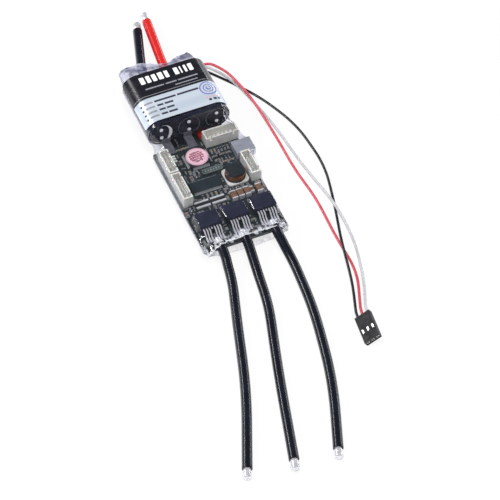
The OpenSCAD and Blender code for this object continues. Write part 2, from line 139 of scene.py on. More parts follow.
def prism_faces(n):
    """Faces of a prism: the points of its lower outline come first, then those of its upper one."""
    sides = [(i, (i + 1) % n, (i + 1) % n + n, i + n) for i in range(n)]
    return sides + [tuple(range(n - 1, -1, -1)), tuple(range(n, 2 * n))]


def flipped(faces):
    """The same faces, turned to face the other way."""
    return [(f[0], *f[:0:-1]) for f in faces]


def piece(name, points, faces, looks, body="controller", slot=None, smooth=True):
    """A mesh object from points in millimetres, riding on a body unless body is None."""
    mesh = bpy.data.meshes.new(name)
    mesh.from_pydata([tuple(c * MM for c in p) for p in points], [], faces)
    for look in looks:
        mesh.materials.append(LOOKS[look])
    if smooth:
        mesh.polygons.foreach_set("use_smooth", [True] * len(mesh.polygons))
    mesh.validate()
    obj = bpy.data.objects.new(name, mesh)
    bpy.context.scene.collection.objects.link(obj)
    if body:
        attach(obj, body)
    return obj


def bevel(obj, width, segments=2):
    """Rounds the sharp edges of an object and keeps its flat faces flat."""
    mod = obj.modifiers.new("rounded edges", "BEVEL")
    mod.width = width * MM
    mod.segments = segments
    mod.limit_method = "ANGLE"
    mod.angle_limit = math.radians(35)
    mod.harden_normals = True
    mod.use_clamp_overlap = True


class Batch:
    """Collects many small solids that become one piece; kind is a solid's place in its looks."""

    def __init__(self):
        self.points = []
        self.faces = []
        self.kinds = []

    def add(self, points, faces, kind=0, place=Matrix()):
        base = len(self.points)
        self.points += [place @ Vector(p) for p in points]
        self.faces += [[base + i for i in face] for face in faces]
        self.kinds += [kind] * len(faces)

    def prism(self, outline, low, high, kind=0, place=Matrix()):
        """Upright prism over an anticlockwise outline."""
        points = [(x, y, z) for z in (low, high) for x, y in outline]
        self.add(points, prism_faces(len(outline)), kind, place)

    def block(self, size, low=0, kind=0, place=Matrix()):
        x, y = size[0] / 2, size[1] / 2
        self.prism([(-x, -y), (x, -y), (x, y), (-x, y)], low, low + size[2], kind, place)

    def stroke(self, path, width, low, high, place=Matrix()):
        """A flat track of the given width along a path of (x, y) points."""
        reach = width / 2
        for (x0, y0), (x1, y1) in zip(path, path[1:]):
            length = math.hypot(x1 - x0, y1 - y0)
            if length < 1e-6:
                continue
            ux, uy = (x1 - x0) / length * reach, (y1 - y0) / length * reach
            a, b = (x0 - ux, y0 - uy), (x1 + ux, y1 + uy)
            outline = [
                (a[0] + uy, a[1] - ux), (b[0] + uy, b[1] - ux),
                (b[0] - uy, b[1] + ux), (a[0] - uy, a[1] + ux),
            ]
            self.prism(outline, low, high, 0, place)

    def build(self, name, looks, slot, smooth=False):
        obj = piece(name, self.points, self.faces, looks, slot=slot, smooth=smooth)
        obj.data.polygons.foreach_set("material_index", self.kinds)
        return obj


# ---------- materials ----------

LOOKS = {}


class Look:
    """A node material, listed in LOOKS, with short calls for adding and joining nodes."""

    def __init__(self, name):
        material = bpy.data.materials.new(name)
        material.use_nodes = True
        LOOKS[name] = material
        self.tree = material.node_tree
        self.shader = self.tree.nodes["Principled BSDF"]
        self.place = self.add("TexCoord").outputs["Object"]

    def add(self, kind, settings=None, **inputs):
        node = self.tree.nodes.new("ShaderNode" + kind)
        for key, value in (settings or {}).items():
            setattr(node, key, value)
        for key, value in inputs.items():
            self.feed(node.inputs[key.replace("_", " ")], value)
        return node

    def feed(self, socket, value):
        if isinstance(value, bpy.types.NodeSocket):
            self.tree.links.new(value, socket)
        else:
            socket.default_value = value

    def row(self, kind, values, settings=None):
        """A new node with its inputs fed in order."""
        node = self.add(kind, settings)
        for socket, value in zip(node.inputs, values):
            self.feed(socket, value)
        return node.outputs[0]

    def set(self, **inputs):
        for key, value in inputs.items():
            self.feed(self.shader.inputs[key.replace("_", " ")], value)

    def show(self, shader):
        """Puts another shader in place of the principled one."""
        self.tree.nodes.remove(self.shader)
        self.feed(self.tree.nodes["Material Output"].inputs["Surface"], shader)

    def noise(self, grain, detail=3.0, stretch=(1, 1, 1)):
        """Noise whose lumps are about grain millimetres across."""
        place = self.place
        if stretch != (1, 1, 1):
            place = self.add("Mapping", Vector=place, Scale=stretch).outputs[0]
        return self.add("TexNoise", Vector=place, Scale=1 / (grain * MM), Detail=detail).outputs[0]

    def span(self, value, low, high, new_low=0.0, new_high=1.0):
        return self.row("MapRange", (value, low, high, new_low, new_high))

    def math(self, operation, *values):
        return self.row("Math", values, {"operation": operation})

    def sum(self, *values):
        return self.math("ADD", *values)

    def product(self, *values):
        return self.math("MULTIPLY", *values)

    def mix(self, share, a, b):
        node = self.add("Mix", {"data_type": "RGBA"})
        self.feed(node.inputs[0], share)
        self.feed(node.inputs[6], rgba(a))
        self.feed(node.inputs[7], rgba(b))
        return node.outputs[2]

    def worn(self, reach=0.12):
        """1 along edges and 0 on flat faces, reach in millimetres."""
        bent = self.add("Bevel", {"samples": 3}, Radius=reach * MM).outputs[0]
        flat = self.add("NewGeometry").outputs["Normal"]
        match = self.add("VectorMath", {"operation": "DOT_PRODUCT"})
        self.feed(match.inputs[0], bent)
        self.feed(match.inputs[1], flat)
        return self.span(match.outputs["Value"], 0.98, 0.75)

    def relief(self, height, depth, then=None):
        """Bump of the given depth in millimetres, on top of an earlier bump."""
        node = self.add("Bump", Height=height, Distance=depth * MM)
        if then:
            self.feed(node.inputs["Normal"], then)
        return node.outputs[0]


def rgba(colour):
    if isinstance(colour, bpy.types.NodeSocket) or len(colour) == 4:
        return colour
    return (*colour, 1.0)


def surface(name, base, other, patch=3.0, rough=(0.3, 0.5), metal=0.0, bump=0.02, grain=0.4,
            edge=None, coat=0.0, stretch=(1, 1, 1), dust=0.0, under=0.0):
    """Shared finish: two tones in patches, uneven gloss, fine relief, worn edges and some dust."""
    look = Look(name)
    colour = look.mix(look.span(look.noise(patch, 4, stretch), 0.35, 0.65), base, other)
    if edge:
        colour = look.mix(look.product(look.worn(), 0.7), colour, edge)
    if dust:
        specks = look.span(look.noise(0.25, 2), 0.66, 0.74)
        colour = look.mix(look.product(specks, dust), colour, (0.6, 0.6, 0.58))
    gloss = look.span(look.noise(patch * 0.6, 3, stretch), 0.3, 0.7, *rough)
    fine = look.relief(look.noise(grain, 3, stretch), bump)
    look.set(Base_Color=colour, Roughness=gloss, Metallic=metal, Normal=fine, Coat_Weight=coat)
    if under:
        look.set(Subsurface_Weight=under, Subsurface_Scale=0.8 * MM)


def silicone(name, base, other):
    """Silicone jacket: smooth and glossy, with faint drawn lines along the lead and a few smears."""
    look = Look(name)
    colour = look.mix(look.span(look.noise(6, 5), 0.4, 0.7), base, other)
    specks = look.span(look.noise(0.3, 2), 0.70, 0.76, 0.0, 0.25)
    colour = look.mix(specks, colour, (0.45, 0.45, 0.5))
    gloss = look.span(look.noise(2.5, 4), 0.3, 0.7, 0.22, 0.32)
    drawn = look.relief(look.noise(0.5, 2, (1, 0.05, 1)), 0.005)
    look.set(Base_Color=colour, Roughness=gloss, Coat_Weight=0.2, Coat_Roughness=0.14)
    look.set(Normal=look.relief(look.noise(3, 2), 0.05, drawn))


def board_look(name, mask, copper):
    """Solder mask over copper: flat pours, their gaps and the weave of the laminate."""
    look = Look(name)
    cells = look.add("TexVoronoi", {"feature": "DISTANCE_TO_EDGE"}, Vector=look.place,
                     Scale=1 / (3.2 * MM))
    pours = look.span(cells.outputs["Distance"], 0.03, 0.05)
    tracks = look.add(
        "TexBrick", {"offset": 0.37, "squash": 0.6}, Vector=look.place,
        Scale=1 / (1.9 * MM), Mortar_Size=0.06, Brick_Width=0.9, Row_Height=0.33,
    ).outputs["Fac"]
    colour = look.mix(pours, [c * 0.45 for c in mask], mask)
    colour = look.mix(look.product(tracks, 0.5), colour, copper)
    weave = look.noise(0.5, 2, (1, 0.2, 1))
    step = look.relief(look.sum(pours, tracks), 0.03)
    look.set(Base_Color=colour, Roughness=look.span(weave, 0.3, 0.7, 0.22, 0.4))
    look.set(Normal=look.relief(weave, 0.008, step), Coat_Weight=0.3, Coat_Roughness=0.15)


def wound(name, base, other, pitch, metal, rough):
    """Turns of wire or foil seen as fine parallel ridges."""
    look = Look(name)
    wave = look.add(
        "TexWave", {"bands_direction": "Z", "wave_profile": "SIN"},
        Vector=look.place, Scale=0.5 / (pitch * MM) / math.pi, Distortion=0.6, Detail=1.0,
    ).outputs["Fac"]
    colour = look.mix(wave, base, other)
    gloss = look.span(look.noise(0.8, 3), 0.3, 0.7, rough * 0.7, rough * 1.4)
    look.set(Base_Color=colour, Roughness=gloss, Metallic=metal, Normal=look.relief(wave, 0.08))


def film_haze_and_glints(look, from_lip, along, height, glance):
    """How milky the film is: a little at glancing angles, more in the folds at its mouth, where the pale milk also
    paints the glints of the crumpled film and a painted highlight along the lip's edge, and most where it is
    gathered behind the label."""
    label_end = box("label")[1].y * MM
    gathered = look.span(along, label_end - 0.5 * MM, label_end + 3.0 * MM, 0, 0.75)
    blotches = look.span(look.noise(4, 4), 0.38, 0.62, 0.45, 1.0)
    # Folds near the mouth: partly milky film, partly painted glints of the crumpled film.
    fold_milk_and_glints = look.span(look.noise(1.6, 3, (1, 0.6, 1)), 0.46, 0.60)
    lip = look.product(look.span(from_lip, 1.5, 6.5, 0.6, 0), fold_milk_and_glints)
    # Painted highlight: a pale band of milk along the lip's edge.
    rim = look.span(from_lip, 0.1, 0.8, 0.75, 0)
    upper = look.span(height, 2.5 * MM, 5 * MM, 0.25, 1)
    haze = look.sum(look.product(gathered, blotches), look.product(look.sum(lip, rim), upper))
    haze = look.sum(haze, look.span(look.noise(7, 4), 0.5, 0.75, 0.0, 0.02))
    return look.sum(haze, look.product(glance, 0.15))


def film_milk_shade_and_glints(look, from_lip, across):
    """The haze's colour: pale at the mouth, where it paints glints and the lip's highlight; in dark and pale
    patches at the far end, tipped by painted shade to darker towards +x and paler towards -x.
    """
    # Painted shade: one side of the gathered film darker than the other.
    shade = look.span(across, -20 * MM, 20 * MM, 0.06, -0.13)
    patches = look.span(look.sum(look.noise(6, 3), shade), 0.42, 0.58)
    colour = look.mix(patches, (0.09, 0.09, 0.19), (0.55, 0.56, 0.68))
    # Pale near the mouth: the colour of the painted glints and highlight there.
    colour = look.mix(look.span(from_lip, 7, 9), (0.74, 0.76, 0.80), colour)
    return look.add("BsdfDiffuse", Color=colour).outputs[0]


def clear_film():
    """Shrink film: clear over the boards, milky where it is gathered, glossy all over."""
    look = Look("clear film")
    across, along, height = look.add("SeparateXYZ", Vector=look.place).outputs
    from_lip = look.add("Attribute", {"attribute_name": "lip distance"}).outputs["Fac"]
    facing = look.add("LayerWeight", Blend=0.5).outputs["Facing"]
    glance = look.math("POWER", facing, 5.0)
    tint = look.mix(facing, (0.985, 0.985, 0.99), (0.84, 0.84, 0.89))
    clear = look.add("BsdfTransparent", Color=tint).outputs[0]
    # This milk carries painted glints and a painted highlight at the mouth.
    haze = film_haze_and_glints(look, from_lip, along, height, glance)
    body = look.row("MixShader", (haze, clear, film_milk_shade_and_glints(look, from_lip, across)))
    crinkle = look.relief(look.noise(1.2, 3), 0.03, look.relief(look.noise(5, 3), 0.2))
    shine = look.add("BsdfGlossy", Color=(1, 1, 1, 1), Roughness=0.08, Normal=crinkle).outputs[0]
    mirrored = look.math("MULTIPLY_ADD", glance, 0.6, 0.03)
    look.show(look.row("MixShader", (mirrored, body, shine)))


def make_board_looks():
    board_look("circuit board", (0.012, 0.02, 0.022), (0.035, 0.055, 0.055))
    surface("capacitor board", (0.005, 0.006, 0.016), (0.01, 0.012, 0.03), 5, (0.12, 0.3),
            bump=0.01, edge=(0.1, 0.1, 0.12), coat=0.4)
    surface("track", (0.03, 0.048, 0.05), (0.045, 0.066, 0.066), 2, (0.2, 0.35))
    surface("ink", (0.2, 0.25, 0.24), (0.36, 0.42, 0.4), 1, (0.4, 0.6))
    surface("tin", (0.84, 0.85, 0.87), (0.7, 0.71, 0.74), 1.5, (0.25, 0.45), 0.35, 0.01, 0.3)
    surface("solder", (0.92, 0.93, 0.95), (0.76, 0.77, 0.81), 1.0, (0.12, 0.28), 0.25, 0.06, 0.8)
    surface("gold", (0.55, 0.42, 0.2), (0.66, 0.54, 0.3), 1, (0.2, 0.35), 1.0)
    surface("strap", (0.16, 0.16, 0.19), (0.24, 0.24, 0.28), 1.5, (0.3, 0.5), 0.5)
    surface("chip end", (0.4, 0.41, 0.44), (0.27, 0.28, 0.31), 0.6, (0.25, 0.45), 0.3)
    surface("brown", (0.15, 0.085, 0.055), (0.24, 0.14, 0.09), 1, (0.25, 0.45), 0, 0.03, 0.2,
            edge=(0.5, 0.33, 0.24))
    surface("tan", (0.2, 0.145, 0.09), (0.32, 0.24, 0.15), 1)
    surface("grey", (0.08, 0.09, 0.09), (0.16, 0.18, 0.18), 1)
    surface("resistor", (0.014, 0.014, 0.016), (0.03, 0.03, 0.034), 1, (0.2, 0.4))
    surface("epoxy", (0.01, 0.012, 0.016), (0.018, 0.021, 0.026), 2, (0.35, 0.55), 0, 0.012, 0.12,
            edge=(0.1, 0.11, 0.12))
    surface("driver epoxy", (0.013, 0.023, 0.028), (0.02, 0.032, 0.039), 4, (0.3, 0.5), 0, 0.012,
            0.12, edge=(0.11, 0.13, 0.14))
    surface("transistor", (0.011, 0.014, 0.032), (0.018, 0.022, 0.046), 3, (0.38, 0.6), 0, 0.015,
            0.15, edge=(0.1, 0.1, 0.15))
    surface("ferrite", (0.008, 0.014, 0.017), (0.022, 0.032, 0.036), 1.2, (0.35, 0.6), 0, 0.05,
            0.25, edge=(0.12, 0.13, 0.13))
    wound("copper", (0.24, 0.09, 0.035), (0.62, 0.28, 0.12), 0.3, 0.9, 0.3)
    surface("coil base", (0.62, 0.6, 0.55), (0.74, 0.73, 0.7), 2, (0.35, 0.5))
    surface("crystal", (0.035, 0.048, 0.048), (0.09, 0.11, 0.105), 2.5, (0.3, 0.45), 0.4,
            edge=(0.5, 0.56, 0.5), stretch=(0.2, 1, 1))
    surface("lens", (0.75, 0.82, 0.74), (0.85, 0.88, 0.8), 0.6, (0.1, 0.2), under=0.4)
    surface("usb", (0.56, 0.6, 0.66), (0.7, 0.73, 0.78), 2.5, (0.25, 0.4), 0.6, 0.015,
            edge=(0.8, 0.8, 0.82), stretch=(0.2, 1, 1))


def make_part_looks():
    surface("black plastic", (0.007, 0.007, 0.009), (0.015, 0.015, 0.019), 3, (0.12, 0.26),
            grain=0.3, edge=(0.12, 0.12, 0.13), coat=0.5)
    surface("plug plastic", (0.006, 0.006, 0.008), (0.012, 0.012, 0.015), 3, (0.5, 0.65),
            grain=0.3, edge=(0.16, 0.16, 0.17))
    surface("nylon", (0.66, 0.66, 0.61), (0.76, 0.76, 0.71), 2.5, (0.3, 0.48), grain=0.3,
            edge=(0.84, 0.84, 0.8), dust=0.25, under=0.2)
    surface("contact", (0.76, 0.74, 0.68), (0.84, 0.83, 0.79), 0.8, (0.15, 0.3), 0.5)
    surface("aluminium", (0.62, 0.63, 0.66), (0.76, 0.77, 0.79), 2, (0.2, 0.34), 1.0, 0.01,
            stretch=(1, 0.1, 1))
    wound("foil", (0.2, 0.17, 0.12), (0.42, 0.38, 0.3), 0.25, 0.4, 0.5)
    surface("rubber", (0.012, 0.012, 0.013), (0.028, 0.028, 0.03), 2, (0.5, 0.7), 0, 0.04, 0.3)
    surface("can skin", (0.012, 0.012, 0.03), (0.022, 0.022, 0.045), 4, (0.14, 0.3), grain=1.0,
            coat=0.3)
    silicone("black jacket", (0.002, 0.003, 0.009), (0.004, 0.006, 0.016))
    silicone("red jacket", (0.6, 0.01, 0.01), (0.68, 0.018, 0.014))
    silicone("black wire", (0.008, 0.008, 0.01), (0.014, 0.014, 0.018))
    silicone("white wire", (0.54, 0.54, 0.56), (0.46, 0.47, 0.5))
    silicone("red wire", (0.56, 0.05, 0.08), (0.64, 0.085, 0.115))
    surface("strand", (0.84, 0.84, 0.87), (0.66, 0.66, 0.71), 0.9, (0.16, 0.32), 0.5, 0.03, 0.5)


def make_print_looks():
    surface("label black", (0.005, 0.006, 0.01), (0.01, 0.011, 0.017), 3, (0.22, 0.38), 0, 0.012,
            0.5, coat=0.2)
    surface("label silver", (0.57, 0.65, 0.74), (0.67, 0.74, 0.83), 6, (0.3, 0.42), 0.3, 0.01,
            0.3, stretch=(0.1, 1, 1))
    surface("label white", (0.86, 0.86, 0.88), (0.94, 0.94, 0.96), 1, (0.35, 0.5))
    surface("label grey", (0.2, 0.2, 0.23), (0.32, 0.32, 0.35), 0.6, (0.35, 0.5))
    surface("label ink", (0.02, 0.02, 0.035), (0.06, 0.06, 0.09), 0.5, (0.35, 0.5))
    surface("label blue", (0.07, 0.08, 0.36), (0.16, 0.17, 0.5), 1, (0.35, 0.5))
    surface("label pink", (0.62, 0.25, 0.36), (0.72, 0.38, 0.46), 0.6, (0.35, 0.5))
    surface("sticker paper", (0.94, 0.58, 0.66), (0.96, 0.66, 0.72), 2, (0.45, 0.65), grain=0.2)
    surface("sticker ink", (0.34, 0.06, 0.11), (0.46, 0.12, 0.17), 0.6, (0.5, 0.6))


# ---------- carried-over CAD parts ----------

# Node: (look, width of its rounded edges)
CAD_LOOKS = {
    "main_board": ("circuit board", 0.12), "capacitor_board": ("capacitor board", 0.12),
    "board_links": ("strap", 0.08), "inspection_sticker": ("sticker paper", 0),
    "microcontroller": ("epoxy", 0.12), "microcontroller_leads": ("tin", 0.02),
    "gate_driver": ("driver epoxy", 0.10), "gate_driver_leads": ("tin", 0.02),
    "top_mosfets": ("transistor", 0.22), "top_mosfet_leads": ("tin", 0.08),
    "bottom_mosfets": ("transistor", 0.22), "bottom_mosfet_leads": ("tin", 0.08),
    "inductor_core": ("ferrite", 0.18), "inductor_winding": ("copper", 0.12),
    "inductor_base": ("coil base", 0.12), "ceramic_capacitors": ("brown", 0.10),
    "ceramic_capacitor_ends": ("tin", 0.10), "shunt_resistors": ("resistor", 0.06),
    "shunt_resistor_ends": ("tin", 0.06), "crystal_can": ("crystal", 0.25),
    "status_leds": ("lens", 0.08), "usb_shell": ("usb", 0.10), "usb_tongue": ("black plastic", 0.08),
    "header_housings": ("nylon", 0.12), "header_pins": ("contact", 0.08),
    "capacitor_cans": ("aluminium", 0.10), "capacitor_windings": ("foil", 0.10),
    "capacitor_seals": ("rubber", 0.20), "capacitor_sleeves": ("can skin", 0.05),
    "capacitor_leads": ("tin", 0.04), "capacitor_solder": ("solder", 0),
    "battery_joints": ("solder", 0.10), "motor_joints": ("solder", 0.10),
    "plug_housing": ("plug plastic", 0.14), "plug_contacts": ("contact", 0.08),
}


def dress_cad_parts():
    for node, (look, width) in CAD_LOOKS.items():
        obj = frame["nodes"][node]
        obj.data.materials.clear()
        obj.data.materials.append(LOOKS[look])
        if width:
            bevel(obj, width)


# ---------- leads and wires ----------

def trace(node, start, heading, radius, step=1.0):
    """Centre line of a tube in a CAD node, found by cutting it across its own direction."""
    points = cad_points(node)
    edges = cad_edges(node)
    a, b = points[edges[:, 0]], points[edges[:, 1]]
    centre = np.array(start, float)
    heading = np.array(heading, float) / np.linalg.norm(heading)
    most_steps, fewest_cuts, reach_out = 400, 8, radius * 1.22
    found = []
    for _ in range(most_steps):
        guess = centre + heading * step
        da, db = (a - guess) @ heading, (b - guess) @ heading
        cut = (da * db) < 0
        where = a[cut] + (b[cut] - a[cut]) * (da[cut] / (da[cut] - db[cut]))[:, None]
        where = where[np.linalg.norm(where - guess, axis=1) < reach_out]
        if len(where) < fewest_cuts:
            break
        side = np.cross(heading, (0, 0, 1))
        side /= np.linalg.norm(side)
        up = np.cross(side, heading)
        rel = where - guess
        for axis in (side, up):
            reach = rel @ axis
            guess = guess + axis * (reach.min() + reach.max()) / 2
        heading = guess - centre
        heading /= np.linalg.norm(heading)
        centre = guess
        found.append(guess)
    return found


def distances(path):
    """How far each point of a path lies along it."""
    return np.concatenate([[0], np.cumsum(np.linalg.norm(np.diff(path, axis=0), axis=1))])


def evenly(path, count, endpoint=True):
    """The given number of evenly spaced points along a path."""
    length = distances(path)
    at = np.linspace(0, length[-1], count, endpoint=endpoint)
    return np.stack([np.interp(at, length, column) for column in path.T], axis=1)


def bell(reach, width):
    """Weights of a Gaussian blur over 2 reach + 1 cells."""
    weights = np.exp(-0.5 * (np.arange(-reach, reach + 1) / width) ** 2)
    return weights / weights.sum()


def resample(path, step, soften):
    """Evenly spaced points along a path, its corners softened over the given length."""
    path = np.array(path, float)
    even = evenly(path, max(int(distances(path)[-1] / step), 2) + 1)
    reach = int(3 * soften / step)
    before = even[0] + (even[0] - even[1]) * np.arange(reach, 0, -1)[:, None]
    after = even[-1] + (even[-1] - even[-2]) * np.arange(1, reach + 1)[:, None]
    padded = np.concatenate([before, even, after])
    weights = bell(reach, soften / step)
    return np.stack([np.convolve(column, weights, "valid") for column in padded.T], axis=1)


def sweep(line, radii, path, sides, lobes=None):
    """Points and faces of a round tube: a ring at each centre of the line, square to the nearest
    stretch of the path. lobes(turn, ring) may vary the radius."""
    path = np.array(path, float)
    tangents = np.gradient(path, axis=0)
    tangents /= np.linalg.norm(tangents, axis=1)[:, None]
    side = Vector(tangents[0]).cross(Vector((0, 0, 1))).normalized()
    points = []
    for ring, (centre, radius) in enumerate(zip(line, radii)):
        nearest = int(np.argmin(np.linalg.norm(path - np.array(centre), axis=1)))
        heading = Vector(tangents[nearest])
        side = (side - heading * side.dot(heading)).normalized()
        up = side.cross(heading)
        for k in range(sides):
            turn = 2 * math.pi * k / sides
            r = radius * (lobes(turn, ring) if lobes else 1)
            points.append(Vector(centre) + side * r * math.cos(turn) + up * r * math.sin(turn))
    return points, tube_faces(len(line), sides)


def cut_tube(path, radius, bore, rim, depth, sides):
    """Points and faces of a tube whose cut ends have a rounded rim and show the wall of its bore."""
    centres = [Vector(p) for p in path]
    first = (centres[0] - centres[1]).normalized()
    last = (centres[-1] - centres[-2]).normalized()
    rings = [(-rim, radius), (-rim * 0.3, radius - rim * 0.3), (0, radius - rim),
             (0, bore + rim), (-rim * 0.3, bore + rim * 0.3), (-rim, bore), (-depth, bore)]
    head = [centres[0] + first * along for along, _ in rings]
    tail = [centres[-1] + last * along for along, _ in rings]
    radii = [r for _, r in rings]
    inside = centres[2:-2]
    return sweep(head[::-1] + inside + tail, radii[::-1] + [radius] * len(inside) + radii, path, sides)


def tip_length(jacket_node, core_node):
    """How far a conductor stands out of its jacket."""
    a, b = cad_points(jacket_node), cad_points(core_node)
    far = 1 if b[:, 1].mean() > 0 else -1
    return abs((b[:, 1] * far).max() - (a[:, 1] * far).max())


def tip_radii(radius, inset, total, rings):
    """Radius of each ring: swollen by solder outside the jacket and rounded at the snipped end."""
    radii = []
    for i in range(rings):
        s = total * i / (rings - 1)
        swell = 1 + 0.2 * min(1, max(0, (s - inset - 0.2) / 0.9))
        left = min(1, (total - s) / radius / 0.4)
        radii.append(radius * swell * (0.7 + 0.3 * math.sqrt(max(0, 1 - (1 - left) ** 2))))
    return radii


def tinned_tip(name, path, radius, length, body, node):
    """Bare end of the conductor: strands twisted together under a coat of solder, snipped off."""
    strands, twist = 9, 0.22
    inset, rings, sides = 3.0, 40, 54
    end, before = Vector(path[-1]), Vector(path[-3])
    along = (end - before).normalized()
    total = inset + length
    line = [end + along * (total * i / (rings - 1) - inset) for i in range(rings)]

    def lobes(turn, ring):
        groove = abs(math.cos(strands / 2 * (turn + twist * ring / 4)))
        lump = noise.noise(Vector((math.cos(turn) * 1.5, math.sin(turn) * 1.5, ring * 0.12 + radius)))
        return 0.965 + 0.035 * groove ** 0.6 + 0.03 * lump

    points, faces = sweep(line, tip_radii(radius, inset, total, rings), line, sides, lobes)
    last = (rings - 1) * sides
    points += [line[-1] + along * 0.18, line[0]]
    faces += [(last + k, last + (k + 1) % sides, len(points) - 2) for k in range(sides)]
    faces += [((k + 1) % sides, k, len(points) - 1) for k in range(sides)]
    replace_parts(piece(name, points, faces, ["strand"], body, "tinned_copper"), node)


def lead_radius():
    low, high = box("battery_inner_jackets")
    return (high.z - low.z) / 2


def nearest_middle(node, place, count):
    """Middle of a CAD part's points nearest to a place, such as those of a tube's end."""
    points = cad_points(node)
    order = np.argsort(np.linalg.norm(points - np.array(place), axis=1))
    return points[order[:count]].mean(axis=0)


def power_lead(kind, side, colour, fixed):
    """One lead: its jacket, bending between the controller and its own body, and its bare tip.
    fixed holds (y, height over the hinge) of the points before the hinge."""
    node, core = f"{kind}_jacket_{side}", f"{kind}_core_{side}"
    body = f"{kind}_lead_{side}"
    pivot = joint_place(f"{kind}_flex_{side}")
    radius = lead_radius()
    bore = 0.67 * radius
    start = nearest_middle(node, pivot, 60)
    moving = trace(node, start, start - np.array(pivot), radius)
    still = [(pivot.x, y, pivot.z + rise) for y, rise in fixed]
    path = resample(still + [tuple(pivot)] + moving, 0.8, 1.6)
    tube = cut_tube(path, radius, bore, radius * 0.10, radius * 1.4, 40)
    jacket = piece(f"{kind}_lead_jacket_{side}", *tube, [colour + " jacket"], None, "silicone_" + colour)
    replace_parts(jacket, node)
    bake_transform(jacket)
    tinned_tip(f"{kind}_lead_tip_{side}", path, bore + 0.1, tip_length(node, core), body, core)
    return jacket


def build_power_leads():
    board_end = box("main_board")[0].y
    for side in ("left", "middle", "right"):
        power_lead("motor", side, "black", [(board_end + 0.6, 1.5), (board_end - 0.8, 1.3)])
    hidden_end = box("battery_inner_jackets")[0].y
    for colour in ("black", "red"):
        jacket = power_lead("battery", colour, colour, [(hidden_end, 0), (hidden_end + 5, 0)])
        if colour == "black":
            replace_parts(jacket, "battery_inner_jackets")


def build_signal_wires():
    start_y = box("signal_tails")[0].y + 0.05
    tails = islands("signal_tails")
    radius = np.ptp(tails[0][tails[0][:, 1] < start_y][:, 0]) / 2
    tails = sorted(tails, key=lambda part: part[:, 1].max())
    for tail, colour in zip(tails, ("black", "white", "red")):
        start = tail[tail[:, 1] < start_y].mean(axis=0)
        fixed = [start] + trace("signal_tails", start, (0, 1, 0), radius, 0.5)
        node = "signal_wire_" + colour
        begin = nearest_middle(node, fixed[-1], 20)
        moving = [begin] + trace(node, begin, begin - fixed[-1], radius, 0.7)
        last = moving[-1] - moving[-2]
        in_plug = moving[-1] + last / np.linalg.norm(last) * 3
        path = resample(fixed + moving + [in_plug], 0.5, 0.7)
        tube = cut_tube(path, radius, radius * 0.5, radius * 0.15, radius * 1.5, 16)
        obj = piece("signal_lead_" + colour, *tube, [colour + " wire"], None, "wire_" + colour)
        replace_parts(obj, node)
        if colour == "black":
            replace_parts(obj, "signal_tails")
        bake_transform(obj)


# ---------- small parts and print on the boards ----------

# Kinds in the batch of chip parts, in the order of their looks
CHIP_LOOKS = ["resistor", "tan", "grey", "brown", "chip end", "chip end", "epoxy"]
BLACK, TAN, GREY, BROWN, TIN, SOLDER, EPOXY = range(7)


class Ground:
    """Free and taken places on one side of the main board, on a fine square grid."""

    cell = 0.2

    def __init__(self, low, high):
        self.low = low
        self.size = (int((high.x - low.x) / self.cell), int((high.y - low.y) / self.cell))
        self.taken = np.zeros(self.size, bool)

    def window(self, x, y, w, l, gap):
        """First cell and one past the last, in x and in y, of a rectangle with a gap round it."""
        rows = ((x, w / 2, self.low.x), (y, l / 2, self.low.y))
        return [(int((at - half - gap - low) / self.cell), int((at + half + gap - low) / self.cell) + 1)
                for at, half, low in rows]

    def take(self, x, y, w, l, gap=0.15):
        i, j = self.window(x, y, w, l, gap)
        self.taken[max(i[0], 0):max(i[1], 0), max(j[0], 0):max(j[1], 0)] = True

    def free(self, x, y, w, l, gap=0.15):
        i, j = self.window(x, y, w, l, gap)
        if min(i[0], j[0]) < 1 or i[1] >= self.size[0] or j[1] >= self.size[1]:
            return False
        return not self.taken[i[0]:i[1], j[0]:j[1]].any()

    def mark(self, nodes):
        """Takes the places of CAD parts."""
        for node in nodes:
            for part in islands(node):
                low, high = part.min(axis=0), part.max(axis=0)
                middle = (low + high) / 2
                self.take(middle[0], middle[1], high[0] - low[0], high[1] - low[1])


def chip(batch, size, kind, place):
    """A chip part: its body, two wrapped metal ends and their solder fillets, on tinned pads."""
    length, width, height = size
    end = length * 0.2
    batch.block((length - 2 * end, width, height * 0.94), 0.05, kind, place)
    for s in (-1, 1):
        batch.block((end, width + 0.05, height), 0.03, TIN, place @ moved(s * (length - end) / 2, 0, 0))
        x0, x1, half = s * length / 2, s * (length / 2 + 0.32), width / 2
        wedge = [(x0, -half, 0.02), (x1, -half, 0.02), (x0, -half, height * 0.6),
                 (x0, half, 0.02), (x1, half, 0.02), (x0, half, height * 0.6)]
        faces = [(0, 1, 2), (3, 5, 4), (0, 3, 4, 1), (1, 4, 5, 2), (2, 5, 3, 0)]
        batch.add(wedge, faces if s > 0 else [f[::-1] for f in faces], SOLDER, place)
        pad = place @ moved(s * (length / 2 + 0.02), 0, 0)
        batch.block((end + 0.7, width + 0.14, 0.03), 0, SOLDER, pad)


def three_leg(batch, place):
    """A small three-legged transistor."""
    batch.block((2.9, 1.3, 0.95), 0.1, EPOXY, place)
    for x, s in ((-0.95, -1), (0.95, -1), (0, 1)):
        leg = place @ moved(x, s * 0.95, 0)
        batch.block((0.4, 0.75, 0.18), 0.02, TIN, leg)
        batch.block((0.8, 0.9, 0.03), 0, SOLDER, leg)


def flat_chip(batch, size, count, place):
    """A square leadless chip with a row of pads at each side."""
    batch.block((size, size, 0.8), 0.04, EPOXY, place)
    for a in range(4):
        side = place @ turned(a * QUARTER)
        for i in range(count):
            x = (i - (count - 1) / 2) * size * 0.8 / count
            batch.block((size * 0.4 / count, 0.42, 0.12), 0, TIN, side @ moved(x, -size / 2 - 0.1, 0))


def frame_line(batch, w, l, width, place):
    """A printed rectangle round a part."""
    x, y = w / 2, l / 2
    batch.stroke([(-x, -y), (x, -y), (x, y), (-x, y), (-x, -y)], width, 0.015, 0.03, place)


